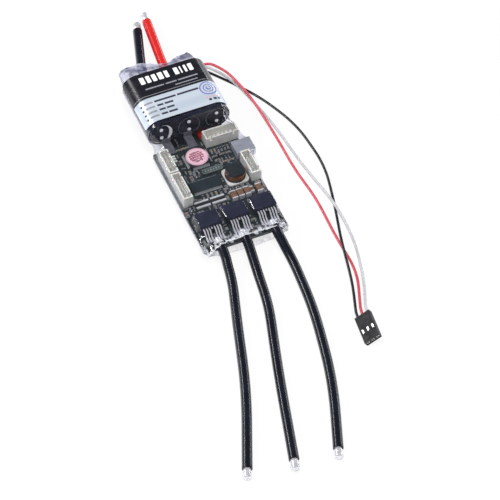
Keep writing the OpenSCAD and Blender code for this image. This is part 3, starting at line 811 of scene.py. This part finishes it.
def scatter_parts(ground, chips, ink, side, tries):
    """Fills free places with chip parts, some in a printed frame."""
    sizes = [(2.0, 1.25, 0.8), (1.6, 0.8, 0.5), (1.6, 0.8, 0.5), (1.0, 0.5, 0.36), (1.0, 0.5, 0.36)]
    kinds = (BLACK, BLACK, TAN, GREY, BROWN, TAN)
    for _ in range(tries):
        x = random.uniform(ground.low.x + 1, ground.low.x + ground.size[0] * ground.cell - 1)
        y = random.uniform(ground.low.y + 1, ground.low.y + ground.size[1] * ground.cell - 1)
        across = random.random() < 0.5
        kind = random.choice(kinds)
        form = random.random()
        size = random.choice(sizes)
        place = side @ moved(x, y, 0) @ turned(QUARTER if across else 0)
        if form < 0.05 and ground.free(x, y, 3.6, 3.6):
            flat_chip(chips, 3.0, 5, place)
            frame_line(ink, 3.7, 3.7, 0.12, place)
            ground.take(x, y, 3.6, 3.6)
        elif form < 0.13 and ground.free(x, y, 3.2, 3.2):
            three_leg(chips, place)
            frame_line(ink, 3.3, 1.0, 0.1, place)
            ground.take(x, y, 3.0, 3.0)
        else:
            w, l = size[0] + 0.7, size[1] + 0.15
            if across:
                w, l = l, w
            if not ground.free(x, y, w, l):
                continue
            chip(chips, size, kind, place)
            if size[0] > 1.2:
                frame_line(ink, size[0] + 1.0, size[1] + 0.4, 0.1, place)
            ground.take(x, y, w, l)


def tracks_and_holes(batch, low, high, side, count):
    """Masked tracks with 45 degree corners, and plated through holes."""
    inside = 0.7
    for _ in range(count):
        x = random.uniform(low.x + 2, high.x - 2)
        y = random.uniform(low.y + 2, high.y - 2)
        run = random.uniform(2, 7)
        jog = random.choice((-1, 1)) * random.uniform(0.4, 1.6)
        width = random.choice((0.18, 0.18, 0.25, 0.5))
        if random.random() < 0.6:
            path = [(x, y), (x, y + run), (x + jog, y + run + abs(jog)), (x + jog, y + run * 2)]
        else:
            path = [(x, y), (x + run, y), (x + run + abs(jog), y + jog), (x + run * 1.6, y + jog)]
        path = [(min(max(px, low.x + inside), high.x - inside),
                 min(max(py, low.y + inside), high.y - inside)) for px, py in path]
        batch.stroke(path, width, 0, 0.012, side)
        batch.prism(circle(0.3, 14, *path[-1]), 0, 0.02, 1, side)
        batch.prism(circle(0.14, 10, *path[-1]), 0, 0.024, 2, side)


def solder_dome(batch, x, y, radius, height, side, rings=5, sides=18):
    """A low rounded mound of solder."""
    points = []
    for j in range(rings):
        a = QUARTER * j / rings
        for k in range(sides):
            turn = 2 * math.pi * k / sides
            r = radius * math.cos(a) * (1 + 0.06 * math.sin(3 * turn + x))
            points.append((x + r * math.cos(turn), y + r * math.sin(turn), height * math.sin(a)))
    points.append((x, y, height))
    last = (rings - 1) * sides
    faces = tube_faces(rings, sides)
    faces += [(last + k, last + (k + 1) % sides, rings * sides) for k in range(sides)]
    faces.append(tuple(range(sides - 1, -1, -1)))
    batch.add(points, faces, 0, side)


def add_cad_passives(chips, top):
    """Chip parts in the places of the CAD's plain ones."""
    for part in islands("small_passives"):
        a, b = part.min(axis=0), part.max(axis=0)
        across = b[1] - a[1] > b[0] - a[0]
        size = sorted((b - a)[:2], reverse=True)
        place = top @ moved((a[0] + b[0]) / 2, (a[1] + b[1]) / 2, 0) @ turned(QUARTER if across else 0)
        chip(chips, (size[0], size[1], b[2] - a[2]), random.choice((TAN, BLACK, GREY, TAN)), place)


def add_solder(solder, low, high, top, below):
    """Solder at the feet of the power transistors' leads, and loose mounds near the board's ends."""
    for node, side, flip in (("top_mosfet_leads", top, 1), ("bottom_mosfet_leads", below, -1)):
        for part in islands(node):
            a, b = part.min(axis=0), part.max(axis=0)
            is_lead = b[0] - a[0] <= 2 <= b[1] - a[1]
            if is_lead:
                x = flip * (a[0] + b[0]) / 2
                solder.block((0.85, 2.5, 0.05), 0, 0, side @ moved(x, a[1] + 1.05, 0))
                solder_dome(solder, x, a[1] + 0.15, 0.42, 0.5, side, 4, 12)
    for x, y, r in ((-16.2, high.y - 1.3, 0.75), (15.8, high.y - 1.3, 0.75), (-6.6, low.y + 1.5, 1.25),
                    (5.3, low.y + 1.5, 1.25), (18.3, low.y + 1.4, 1.0)):
        solder_dome(solder, x, y, r, r * 0.7, top)


def add_crystal_print(ink):
    """A frame and a row of plain blocks on the crystal's can."""
    low, high = box("crystal_can")
    can = moved((low.x + high.x) / 2, (low.y + high.y) / 2, high.z)
    frame_line(ink, 9.2, 2.1, 0.2, can)
    for k in range(6):
        ink.block((0.7, 0.9, 0.02), 0, 0, can @ moved(1.3 * (k - 2.5), 0, 0))


def build_board_details():
    low, high = box("main_board")
    top = moved(0, 0, high.z)
    below = moved(0, 0, low.z) @ turned(math.pi, "Y")
    chips, ink, copper, solder = Batch(), Batch(), Batch(), Batch()

    ground = Ground(low, high)
    add_cad_passives(chips, top)
    ground.mark([
        "microcontroller", "microcontroller_leads", "gate_driver", "gate_driver_leads", "top_mosfets",
        "top_mosfet_leads", "inductor_base", "ceramic_capacitors", "ceramic_capacitor_ends",
        "shunt_resistors", "shunt_resistor_ends", "crystal_can", "small_passives", "status_leds",
        "usb_shell", "header_housings", "board_links", "motor_joints",
    ])
    scatter_parts(ground, chips, ink, top, 2600)
    tracks_and_holes(copper, low, high, top, 90)

    under = Ground(low, high)
    under.take(0, low.y + 14, 44, 24)
    under.mark(["bottom_mosfets", "bottom_mosfet_leads", "battery_joints", "signal_tails"])
    under.taken = under.taken[::-1]
    scatter_parts(under, chips, ink, below, 1500)
    tracks_and_holes(copper, low, high, below, 70)

    add_solder(solder, low, high, top, below)
    add_crystal_print(ink)
    parts = chips.build("board_chip_parts", CHIP_LOOKS, "passive_parts")
    bevel(parts, 0.05, 1)
    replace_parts(parts, "small_passives")
    ink.build("board_printed_outlines", ["ink"], "circuit_board")
    copper.build("board_tracks_and_holes", ["track", "gold", "rubber"], "circuit_board")
    solder.build("board_solder", ["solder"], "solder", smooth=True)


def glint_or_ring_outline(middle, radius, painted_glint):
    """Outer and inner edge of a mark on the capacitor board: for the glint, a thick white crescent that paints the
    film's highlight round the can's rim; otherwise a fine printed circle.
    """
    steps, tilt = 40, 0.47
    outer, inner = [], []
    for k in range(steps + 1):
        a, thick = 2 * math.pi * (k / steps - 0.5), 0.14
        if painted_glint:
            a = math.pi * ((k / steps - 0.5) * 1.25 - 0.15)
            thick = max(1.7 * math.cos((a + tilt) / 1.3), 0.1)
        outer.append((middle + radius * math.cos(a), radius * math.sin(a)))
        inner.append((middle + (radius - thick) * math.cos(a), (radius - 0.05) * math.sin(a)))
    return outer, inner


def build_capacitor_board_glint_and_rings():
    """A painted highlight by the left capacitor, a white crescent for the film's glint round its rim, and fine
    printed outlines by the others.
    """
    low, high = box("capacitor_board")
    face = moved(0, low.y, (low.z + high.z) / 2) @ turned(QUARTER, "X")
    can_low, can_high = box("capacitor_sleeves")
    radius = (can_high.z - can_low.z) / 2
    pitch = (can_high.x - can_low.x) / 2 - radius
    ink = Batch()
    for i in (-1, 0, 1):
        # The left can gets the painted highlight crescent, in the label's white.
        painted_glint = i == -1
        outer, inner = glint_or_ring_outline(i * pitch, radius * 0.82, painted_glint)
        for k in range(len(outer) - 1):
            quad = [outer[k], outer[k + 1], inner[k + 1], inner[k]]
            ink.prism(quad, 0.01, 0.04, 0 if painted_glint else 1, face)
    ink.build("capacitor_board_glint_and_rings", ["label white", "ink"], "capacitor_board")


def build_shade_strip():
    """Dark strip in the bottom of the sleeve: painted shade in the gap between the boards, closing the view
    through it.
    """
    # A dark sheet standing for the shade under the boards, where the glowing floor would show white.
    width, length, thick = 23, 12, 0.2
    middle_y, bottom = box("main_board")[1].y + 7, 0.9
    strip = Batch()
    strip.block((width, length, thick), 0, 0, moved(0, middle_y, bottom))
    strip.build("shade_strip", ["rubber"], "capacitor_board")


# ---------- clear sleeve ----------

FILM_STATIONS = 150
FILM_POINTS = 168
# Parts the film doesn't wrap: itself and what lies on or leaves it
NOT_WRAPPED = ("sleeve", "label", "battery_joints", "inspection_sticker", "signal_tails")


def wrapped_nodes():
    body = frame["record"]["behaviour"]["bodies"]["controller"]
    return [node for node in body if node not in NOT_WRAPPED]


def edge_samples(node):
    """Points along a node's edges, close enough together for every slice to meet some."""
    gap = 0.7
    points, edges = cad_points(node), cad_edges(node)
    a, b = points[edges[:, 0]], points[edges[:, 1]]
    rows = [points]
    length = np.linalg.norm(b - a, axis=1)
    long_ones = length > gap
    a, b, length = a[long_ones], b[long_ones], length[long_ones]
    most = int(length.max() / gap) + 1 if len(length) else 0
    for k in range(1, most):
        share = k * gap / length
        use = share < 1
        rows.append(a[use] + (b[use] - a[use]) * share[use][:, None])
    return np.concatenate(rows)


def blur(grid, amount, axis, wrap=False):
    """Gaussian blur of a grid along one axis, the amount in cells."""
    reach = int(3 * amount) + 1
    weights = bell(reach, amount)
    pad = [(0, 0)] * grid.ndim
    pad[axis] = (reach, reach)
    padded = np.pad(grid, pad, mode="wrap" if wrap else "edge")
    return np.apply_along_axis(lambda row: np.convolve(row, weights, "valid"), axis, padded)


def blur_slices(grid, round_it, along):
    """Blur of a grid of stations by points, round each slice and then along the film."""
    return blur(blur(grid, round_it, 1, True), along, 0)


def held_open(stations):
    """Points besides the contents that hold the film: a flat underside, the main board's edges near
    the mouth, and the leads that leave by it."""
    flat_half, flat_z = 12, 0.2
    board_low, board_high = box("main_board")
    lead_top = box("motor_joints")[1].z - 1.2 + lead_radius()
    lead_xs = [joint_place("motor_flex_" + side).x for side in ("left", "middle", "right")]
    held = []
    for y in stations:
        held += [(x, y, flat_z) for x in (-flat_half, flat_half)]
        if y < board_low.y + 4:
            held += [(s * board_high.x, y, board_low.z + 0.9) for s in (-1, 1)]
        if y < board_low.y + 1.5:
            held += [(x, y, lead_top) for x in lead_xs]
    return held


def film_support(stations, turns, centre):
    """How far the contents reach in each direction of a slice, for each station along y."""
    contents = [edge_samples(node) for node in wrapped_nodes()]
    contents = np.concatenate(contents + [held_open(stations)])
    directions = np.stack([np.cos(turns), np.sin(turns)])
    half = (stations[1] - stations[0]) / 2 + 0.05
    reach = np.full((len(stations), len(turns)), -1e3)
    for i, y in enumerate(stations):
        near = contents[np.abs(contents[:, 1] - y) < half]
        if len(near):
            reach[i] = ((near[:, [0, 2]] - centre) @ directions).max(axis=0)
    gentle, steep = 0.22, 0.55
    slope = np.where(stations > box("capacitor_sleeves")[1].y, gentle, steep)
    spread = [(reach - (slope[i] * np.abs(y - stations))[:, None]).max(axis=0)
              for i, y in enumerate(stations)]
    return blur(np.array(spread), 1.4, 0)


def film_outlines(reach, turns, centre):
    """Closed outline of each slice, its points evenly spaced from the middle of its underside."""
    looks = np.linspace(-np.pi / 2, 3 * np.pi / 2, 720, endpoint=False)
    facing = np.cos(looks[:, None] - turns[None, :])
    rings = []
    for row in reach:
        limit = np.where(facing > 0.05, row[None, :] / np.maximum(facing, 0.05), 1e3)
        r = limit.min(axis=1)
        outline = centre + np.stack([r * np.cos(looks), r * np.sin(looks)], axis=1)
        rings.append(evenly(np.concatenate([outline, outline[:1]]), FILM_POINTS, False))
    return blur_slices(np.array(rings), 0.9, 0.8)


def outward(rings):
    along = np.roll(rings, -1, axis=1) - np.roll(rings, 1, axis=1)
    normal = np.stack([along[..., 1], -along[..., 0]], axis=-1)
    return normal / np.linalg.norm(normal, axis=-1)[..., None]


def contents_tree():
    """A search tree over the faces of everything the film wraps."""
    points, faces = [], []
    for node in wrapped_nodes():
        base = len(points)
        mesh = frame["nodes"][node].data
        points += [v.co / MM for v in mesh.vertices]
        faces += [[base + i for i in p.vertices] for p in mesh.polygons]
    return BVHTree.FromPolygons(points, faces)


def shrink_in(rings, stations, normals):
    """How far the film sinks between the parts that hold it up."""
    tree = contents_tree()
    farthest, if_nothing = 6.0, 2.0
    gap = np.zeros(rings.shape[:2])
    for i, y in enumerate(stations):
        for k in range(rings.shape[1]):
            x, z = rings[i, k]
            nx, nz = normals[i, k]
            hit = tree.ray_cast(Vector((x, y, z)), Vector((-nx, 0, -nz)), farthest)
            gap[i, k] = hit[3] if hit[0] else if_nothing
    share, most, clearance = 0.5, 1.3, 0.25
    wish = np.clip((gap - 0.35) * share, 0, most)
    return np.minimum(blur_slices(wish, 2.2, 1.8), np.maximum(gap - clearance, 0))


def ripple(x, y, z):
    return noise.noise(Vector((x, y, z)))


def hump(distance, reach):
    return math.exp(-(distance / reach) ** 2)


def film_wrinkles(rings, stations):
    """Outward creases: strong at the mouth and the far end, slight elsewhere."""
    can_start = box("capacitor_board")[0].y
    lift = np.zeros(rings.shape[:2])
    for i, y in enumerate(stations):
        strength = (0.05 + 0.60 * hump(y - stations[0], 6.5) + 0.12 * hump(y - can_start, 7)
                    + 0.35 * hump(y - stations[-1], 7))
        for k in range(rings.shape[1]):
            x, z = rings[i, k]
            crease = 1 - min(1, abs(ripple(x * 0.20, y * 0.13, z * 0.20 + 3)) * 2.6)
            lift[i, k] = crease ** 3 * strength + 0.10 * (1 + ripple(x * 0.12, y * 0.10, z * 0.12))
    return lift


def free_of_label(rings, stations):
    """0 under the label, where the film stays smooth, and 1 away from it."""
    low, high = box("label")
    y = stations[:, None]
    covered = (rings[..., 1] > low.z - 0.8) & (y > low.y - 1) & (y < high.y + 1)
    free = 1 - blur_slices(covered.astype(float), 1.2, 1.2)
    return np.clip((free - 0.5) * 2, 0, 1)


def film_rings(stations):
    """Outline (x, z) of the film at each station, shrunk onto its contents and creased."""
    clearance, floor_gap = 0.14, 0.12
    turns = np.linspace(0, 2 * np.pi, 240, endpoint=False)
    centre = np.array([0.0, 7.0])
    rings = film_outlines(film_support(stations, turns, centre) + clearance, turns, centre)
    normals = outward(rings)
    move = film_wrinkles(rings, stations) - shrink_in(rings, stations, normals)
    rings = rings + normals * (move * free_of_label(rings, stations))[..., None]
    rings[..., 1] = np.maximum(rings[..., 1], floor_gap)
    return rings


def uneven_ends(rings, stations):
    """Points of the film, with its arched, wavy mouth and its skewed, dented far end."""
    mouth_depth, half_width, skew_slope = 6, 21, -0.085
    label_end = box("label")[1].y
    points = []
    for ring, y in zip(rings, stations):
        toward_far = max(0, (y - label_end) / (stations[-1] - label_end))
        toward_mouth = max(0, 1 - (y - stations[0]) / mouth_depth)
        for x, z in ring:
            wave = 0.5 * ripple(x * 0.25, 4, z * 0.25) + 0.35 * ripple(x * 0.7, 9, z)
            skew = skew_slope * x
            dent = 3.6 * hump(x - 3, 6) * min(1, max(0, z / 8 - 0.3))
            short_lip = max(0, 1 - z / 6) * (2.6 + wave)
            arch = 1.6 * min(1, z / 6) * (1 - (x / half_width) ** 2)
            shift = toward_far * (skew + wave * 1.5 - dent) + toward_mouth * (wave + short_lip + arch)
            points.append((x, y + shift, z))
    return points


def build_film():
    low, high = box("sleeve")
    stations = np.linspace(low.y, high.y - 1.8, FILM_STATIONS)
    points = uneven_ends(film_rings(stations), stations)
    faces = flipped(tube_faces(FILM_STATIONS, FILM_POINTS))
    film = piece("clear_sleeve_film", points, faces, ["clear film"], slot="clear_film")
    from_lip = np.repeat(stations - stations[0], FILM_POINTS)
    film.data.attributes.new("lip distance", "FLOAT", "POINT").data.foreach_set("value", from_lip)
    thick = film.modifiers.new("thickness", "SOLIDIFY")
    thick.thickness = 0.22 * MM
    thick.offset = 0
    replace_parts(film, "sleeve")


# ---------- label and sticker ----------

LABEL_LOOKS = ["label white", "label grey", "label ink", "label blue", "label pink"]
WHITE, PALE, DARK, BLUE, PINK = range(5)
INK = 0.03


def strip_faces(columns, closed=False):
    """Faces of a bar whose columns have four points each: near lower, near upper, far lower and far
    upper. It has an end face at each side unless it is closed into a ring."""
    faces = []
    for i in range(columns if closed else columns - 1):
        a, b = 4 * i, 4 * ((i + 1) % columns)
        faces += [(a + 1, a + 3, b + 3, b + 1), (a, b, b + 2, a + 2),
                  (a, a + 1, b + 1, b), (a + 2, b + 2, b + 3, a + 3)]
    last = 4 * (columns - 1)
    ends = [] if closed else [(0, 2, 3, 1), (last, last + 1, last + 3, last + 2)]
    return faces + ends


class Label:
    """The label's shape, over the flat middle and the rounded sides of the capacitors. A point on it
    is given by u, across it from its middle, and v, down it from its far edge."""

    def __init__(self):
        self.low, self.high = box("label")
        can_low, can_high = box("capacitor_sleeves")
        self.axis_z = (can_low.z + can_high.z) / 2
        self.flat = can_high.x - (can_high.z - can_low.z) / 2
        self.r = self.high.z - self.axis_z
        self.half = self.flat + self.r * math.asin((self.high.x - self.flat) / self.r)
        self.length = self.high.y - self.low.y

    def point(self, u, v, lift):
        y = self.high.y - v
        if abs(u) <= self.flat:
            return (u, y, self.high.z + lift)
        turn = (abs(u) - self.flat) / self.r
        r = self.r + lift
        return (math.copysign(self.flat + r * math.sin(turn), u), y, self.axis_z + r * math.cos(turn))

    def column(self, near, far, lift, thick):
        return [self.point(*at, h) for at in (near, far) for h in (lift - thick, lift)]

    def patch(self, batch, u, v, kind=0, corner=0.0, ends=(1, 1), lift=INK, thick=INK):
        """A closed patch over u[0]..u[1] and v[0]..v[1]; ends says which v edges have round corners."""
        us = np.linspace(u[0] + corner, u[1] - corner, max(int((u[1] - u[0]) / 0.5), 2))
        if corner:
            curve = corner * (1 - np.cos(np.linspace(0, QUARTER, 8)))[:-1]
            us = np.concatenate([u[0] + curve, us, (u[1] - curve)[::-1]])
        points = []
        for c in us:
            edge = min(c - u[0], u[1] - c)
            cut = 0
            if corner and edge < corner:
                cut = corner - math.sqrt(max(0, corner ** 2 - (corner - edge) ** 2))
            points += self.column((c, v[0] + cut * ends[0]), (c, v[1] - cut * ends[1]), lift, thick)
        batch.add(points, strip_faces(len(us)), kind)

    def ring(self, batch, u, v, inner, outer, kind):
        sides = 48
        points = []
        for near, far in zip(circle(inner, sides, u, v), circle(outer, sides, u, v)):
            points += self.column(near, far, INK, INK)
        batch.add(points, flipped(strip_faces(sides, True)), kind)

    def dot(self, batch, u, v, r, kind):
        outline = circle(r, 20, u, v)
        points = [self.point(*at, h) for h in (0, INK) for at in outline]
        batch.add(points, [f[::-1] for f in prism_faces(20)], kind)


def print_heading(label, ink, split):
    """Plain white blocks in place of the name, and grey bars in place of the lines under it."""
    block_widths = (2.2, 1.9, 2.0, 2.3, 1.8, 0, 2.0, 0.7, 1.2, 2.0)
    u = -12.9
    for w in block_widths:
        if w:
            label.patch(ink, (u, u + w), (2.5, 6.9), WHITE, 0.3)
        u += max(w, 1.0) + 0.95
    for start, end in ((-12.4, -3.2), (-2.4, 3.0), (3.7, 13.4)):
        label.patch(ink, (start, end), (9.9, 10.7), PALE, 0.15)
    label.patch(ink, (1.5, 12.5), (12.3, 12.9), PALE, 0.15)
    label.patch(ink, (1.2 - label.half, label.half - 1.0), (split - 1.5, split - 1.2), PALE)


def print_panel(label, ink):
    """Rows of a dot and bars, a plain ring emblem, and small bars under it."""
    left, ring_u, ring_v = -18.1, 14.6, 20.2
    for k, v in enumerate((18.8, 21.6, 24.4, 27.2)):
        label.dot(ink, left, v, 0.6, DARK)
        label.patch(ink, (left + 1.5, left + 5.9), (v - 0.55, v + 0.45), PALE, 0.1)
        bars = ((6.7, 17.2), (17.9, 28.3)) if k == 0 else ((7.1, 10.1), (10.7, 14.4 + 0.5 * (k % 2)))
        for start, end in bars:
            label.patch(ink, (left + start, left + end), (v - 0.65, v + 0.45), DARK, 0.1)
    label.ring(ink, ring_u, ring_v, 3.6, 4.15, BLUE)
    label.ring(ink, ring_u, ring_v, 2.1, 2.5, BLUE)
    label.dot(ink, ring_u, ring_v, 1.2, BLUE)
    for k in range(4):
        label.patch(ink, (11.4 + 1.6 * k, 12.5 + 1.6 * k), (25.4, 26.0), PINK)
    for k, w in enumerate((1.3, 1.6, 1.2)):
        label.patch(ink, (12.2 + 2.1 * k, 12.2 + 2.1 * k + w), (26.7, 28.0), DARK, 0.2)


def build_label():
    """Black heading over a silver panel, with a generic print."""
    label = Label()
    half, split, thick = label.half, label.length * 0.52, 0.1
    header, panel, ink = Batch(), Batch(), Batch()
    label.patch(header, (-half, half), (0, split), 0, 1.6, (1, 0), 0, thick)
    label.patch(panel, (-half, half), (split, label.length), 0, 1.2, (0, 1), 0, thick)
    print_heading(label, ink, split)
    print_panel(label, ink)
    top = header.build("label_heading", ["label black"], "label_film")
    panel.build("label_panel", ["label silver"], "label_film")
    ink.build("label_print", LABEL_LOOKS, "label_film")
    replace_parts(top, "label")


def build_sticker_print():
    """Rows of random strokes, which spell nothing, inside a printed circle."""
    low, high = box("inspection_sticker")
    middle = (low + high) / 2
    place = moved(middle.x, middle.y, high.z) @ turned(math.radians(8))
    ink = Batch()
    for y, reach in ((2.5, 2.2), (1.3, 3.2), (0.0, 3.4), (-1.3, 3.0), (-2.5, 2.0)):
        x = -reach
        while x < reach - 0.4:
            w = random.uniform(0.4, 1.1)
            tilt = random.uniform(-0.25, 0.25)
            ink.stroke([(x, y + tilt), (min(x + w, reach), y - tilt)], 0.5, 0, 0.03, place)
            if random.random() < 0.7:
                ink.stroke([(x + w * 0.5, y - 0.5), (x + w * 0.5, y + 0.5)], 0.36, 0, 0.03, place)
            x += w + 0.35
    outline = circle((high.x - low.x) / 2 * 0.93, 56)
    ink.stroke(outline + outline[:1], 0.12, 0, 0.015, place)
    ink.build("sticker_print", ["sticker ink"], "sticker_paper")


# ---------- floor, light and camera ----------

def build_floor():
    """A plain pale floor that glows a little for the camera only, so that it looks even."""
    look = Look("pale floor")
    glow = look.add("Emission", Color=(1, 1, 1, 1), Strength=1.0).outputs[0]
    plain = look.add("BsdfDiffuse", Color=(0.93, 0.93, 0.94, 1)).outputs[0]
    seen = look.add("LightPath").outputs["Is Camera Ray"]
    look.show(look.row("MixShader", (look.product(seen, 0.86), plain, glow)))
    half = 4000
    corners = [(-half, -half, 0), (half, -half, 0), (half, half, 0), (-half, half, 0)]
    piece("floor", corners, [(0, 1, 2, 3)], ["pale floor"], None, smooth=False)


def area_light(name, place, size, power, colour=(1, 1, 1), mirrored=True):
    """A soft rectangular light at a place in millimetres, facing the object's long axis;
    mirrored says whether glossy surfaces show it."""
    data = bpy.data.lights.new(name, "AREA")
    data.shape = "RECTANGLE"
    data.size, data.size_y = size[0] * MM, size[1] * MM
    data.energy = power
    data.color = colour
    lamp = bpy.data.objects.new(name, data)
    bpy.context.scene.collection.objects.link(lamp)
    lamp.location = Vector(place) * MM
    lamp.visible_glossy = mirrored
    aim = Vector((0, place[1], 0)) * MM - lamp.location
    lamp.rotation_euler = aim.to_track_quat("-Z", "Y").to_euler()


def build_light():
    """A plain white world, darker where glossy surfaces mirror it, and three soft lights."""
    world = bpy.data.worlds.new("studio")
    bpy.context.scene.world = world
    world.use_nodes = True
    tree = world.node_tree
    background = tree.nodes["Background"]
    ray = tree.nodes.new("ShaderNodeLightPath")
    mirrored = tree.nodes.new("ShaderNodeMapRange")
    mirrored.inputs[3].default_value = 0.42
    mirrored.inputs[4].default_value = 0.16
    tree.links.new(ray.outputs["Is Glossy Ray"], mirrored.inputs[0])
    level = tree.nodes.new("ShaderNodeMapRange")
    level.inputs[4].default_value = 1.0
    tree.links.new(mirrored.outputs[0], level.inputs[3])
    tree.links.new(ray.outputs["Is Camera Ray"], level.inputs[0])
    tree.links.new(level.outputs[0], background.inputs["Strength"])
    background.inputs["Color"].default_value = (0.96, 0.97, 1.0, 1)
    area_light("left softbox", (-500, 420, 530), (800, 60), 4.0, (1.0, 0.99, 1.0))
    area_light("right softbox", (600, 200, 130), (800, 80), 1.2, (0.95, 0.96, 1.0))
    area_light("overhead softbox", (-40, -260, 760), (520, 260), 4.4, mirrored=False)
    bpy.context.scene.view_settings.view_transform = "Standard"


def build_camera():
    """Looks down on the object from in front and to its left."""
    aim = Vector((0, -1, 8))
    azimuth, elevation, roll = math.radians(-23.53), math.radians(51.05), math.radians(0.27)
    distance, shift_right, shift_up = 983.6, -21.25, 40.93
    right = Vector((math.cos(azimuth), math.sin(azimuth), 0))
    level = Vector((math.sin(azimuth), -math.cos(azimuth), 0))
    back = level * math.cos(elevation) + Vector((0, 0, math.sin(elevation)))
    up = back.cross(right)
    place = aim - right * shift_right - up * shift_up + back * distance
    tilted = right * math.cos(roll) + up * math.sin(roll)
    data = bpy.data.cameras.new("camera")
    data.lens = 156.14
    data.clip_start, data.clip_end = 0.05, 20
    camera = bpy.data.objects.new("camera", data)
    bpy.context.scene.collection.objects.link(camera)
    turn = Matrix((tilted, back.cross(tilted), back)).transposed()
    camera.matrix_world = Matrix.Translation(place * MM) @ turn.to_4x4()
    bpy.context.scene.camera = camera


# ---------- everything together ----------

make_board_looks()
make_part_looks()
make_print_looks()
clear_film()
dress_cad_parts()
build_power_leads()
build_signal_wires()
build_board_details()
build_capacitor_board_glint_and_rings()
build_shade_strip()
build_film()
build_label()
build_sticker_print()
build_floor()
build_light()
build_camera()
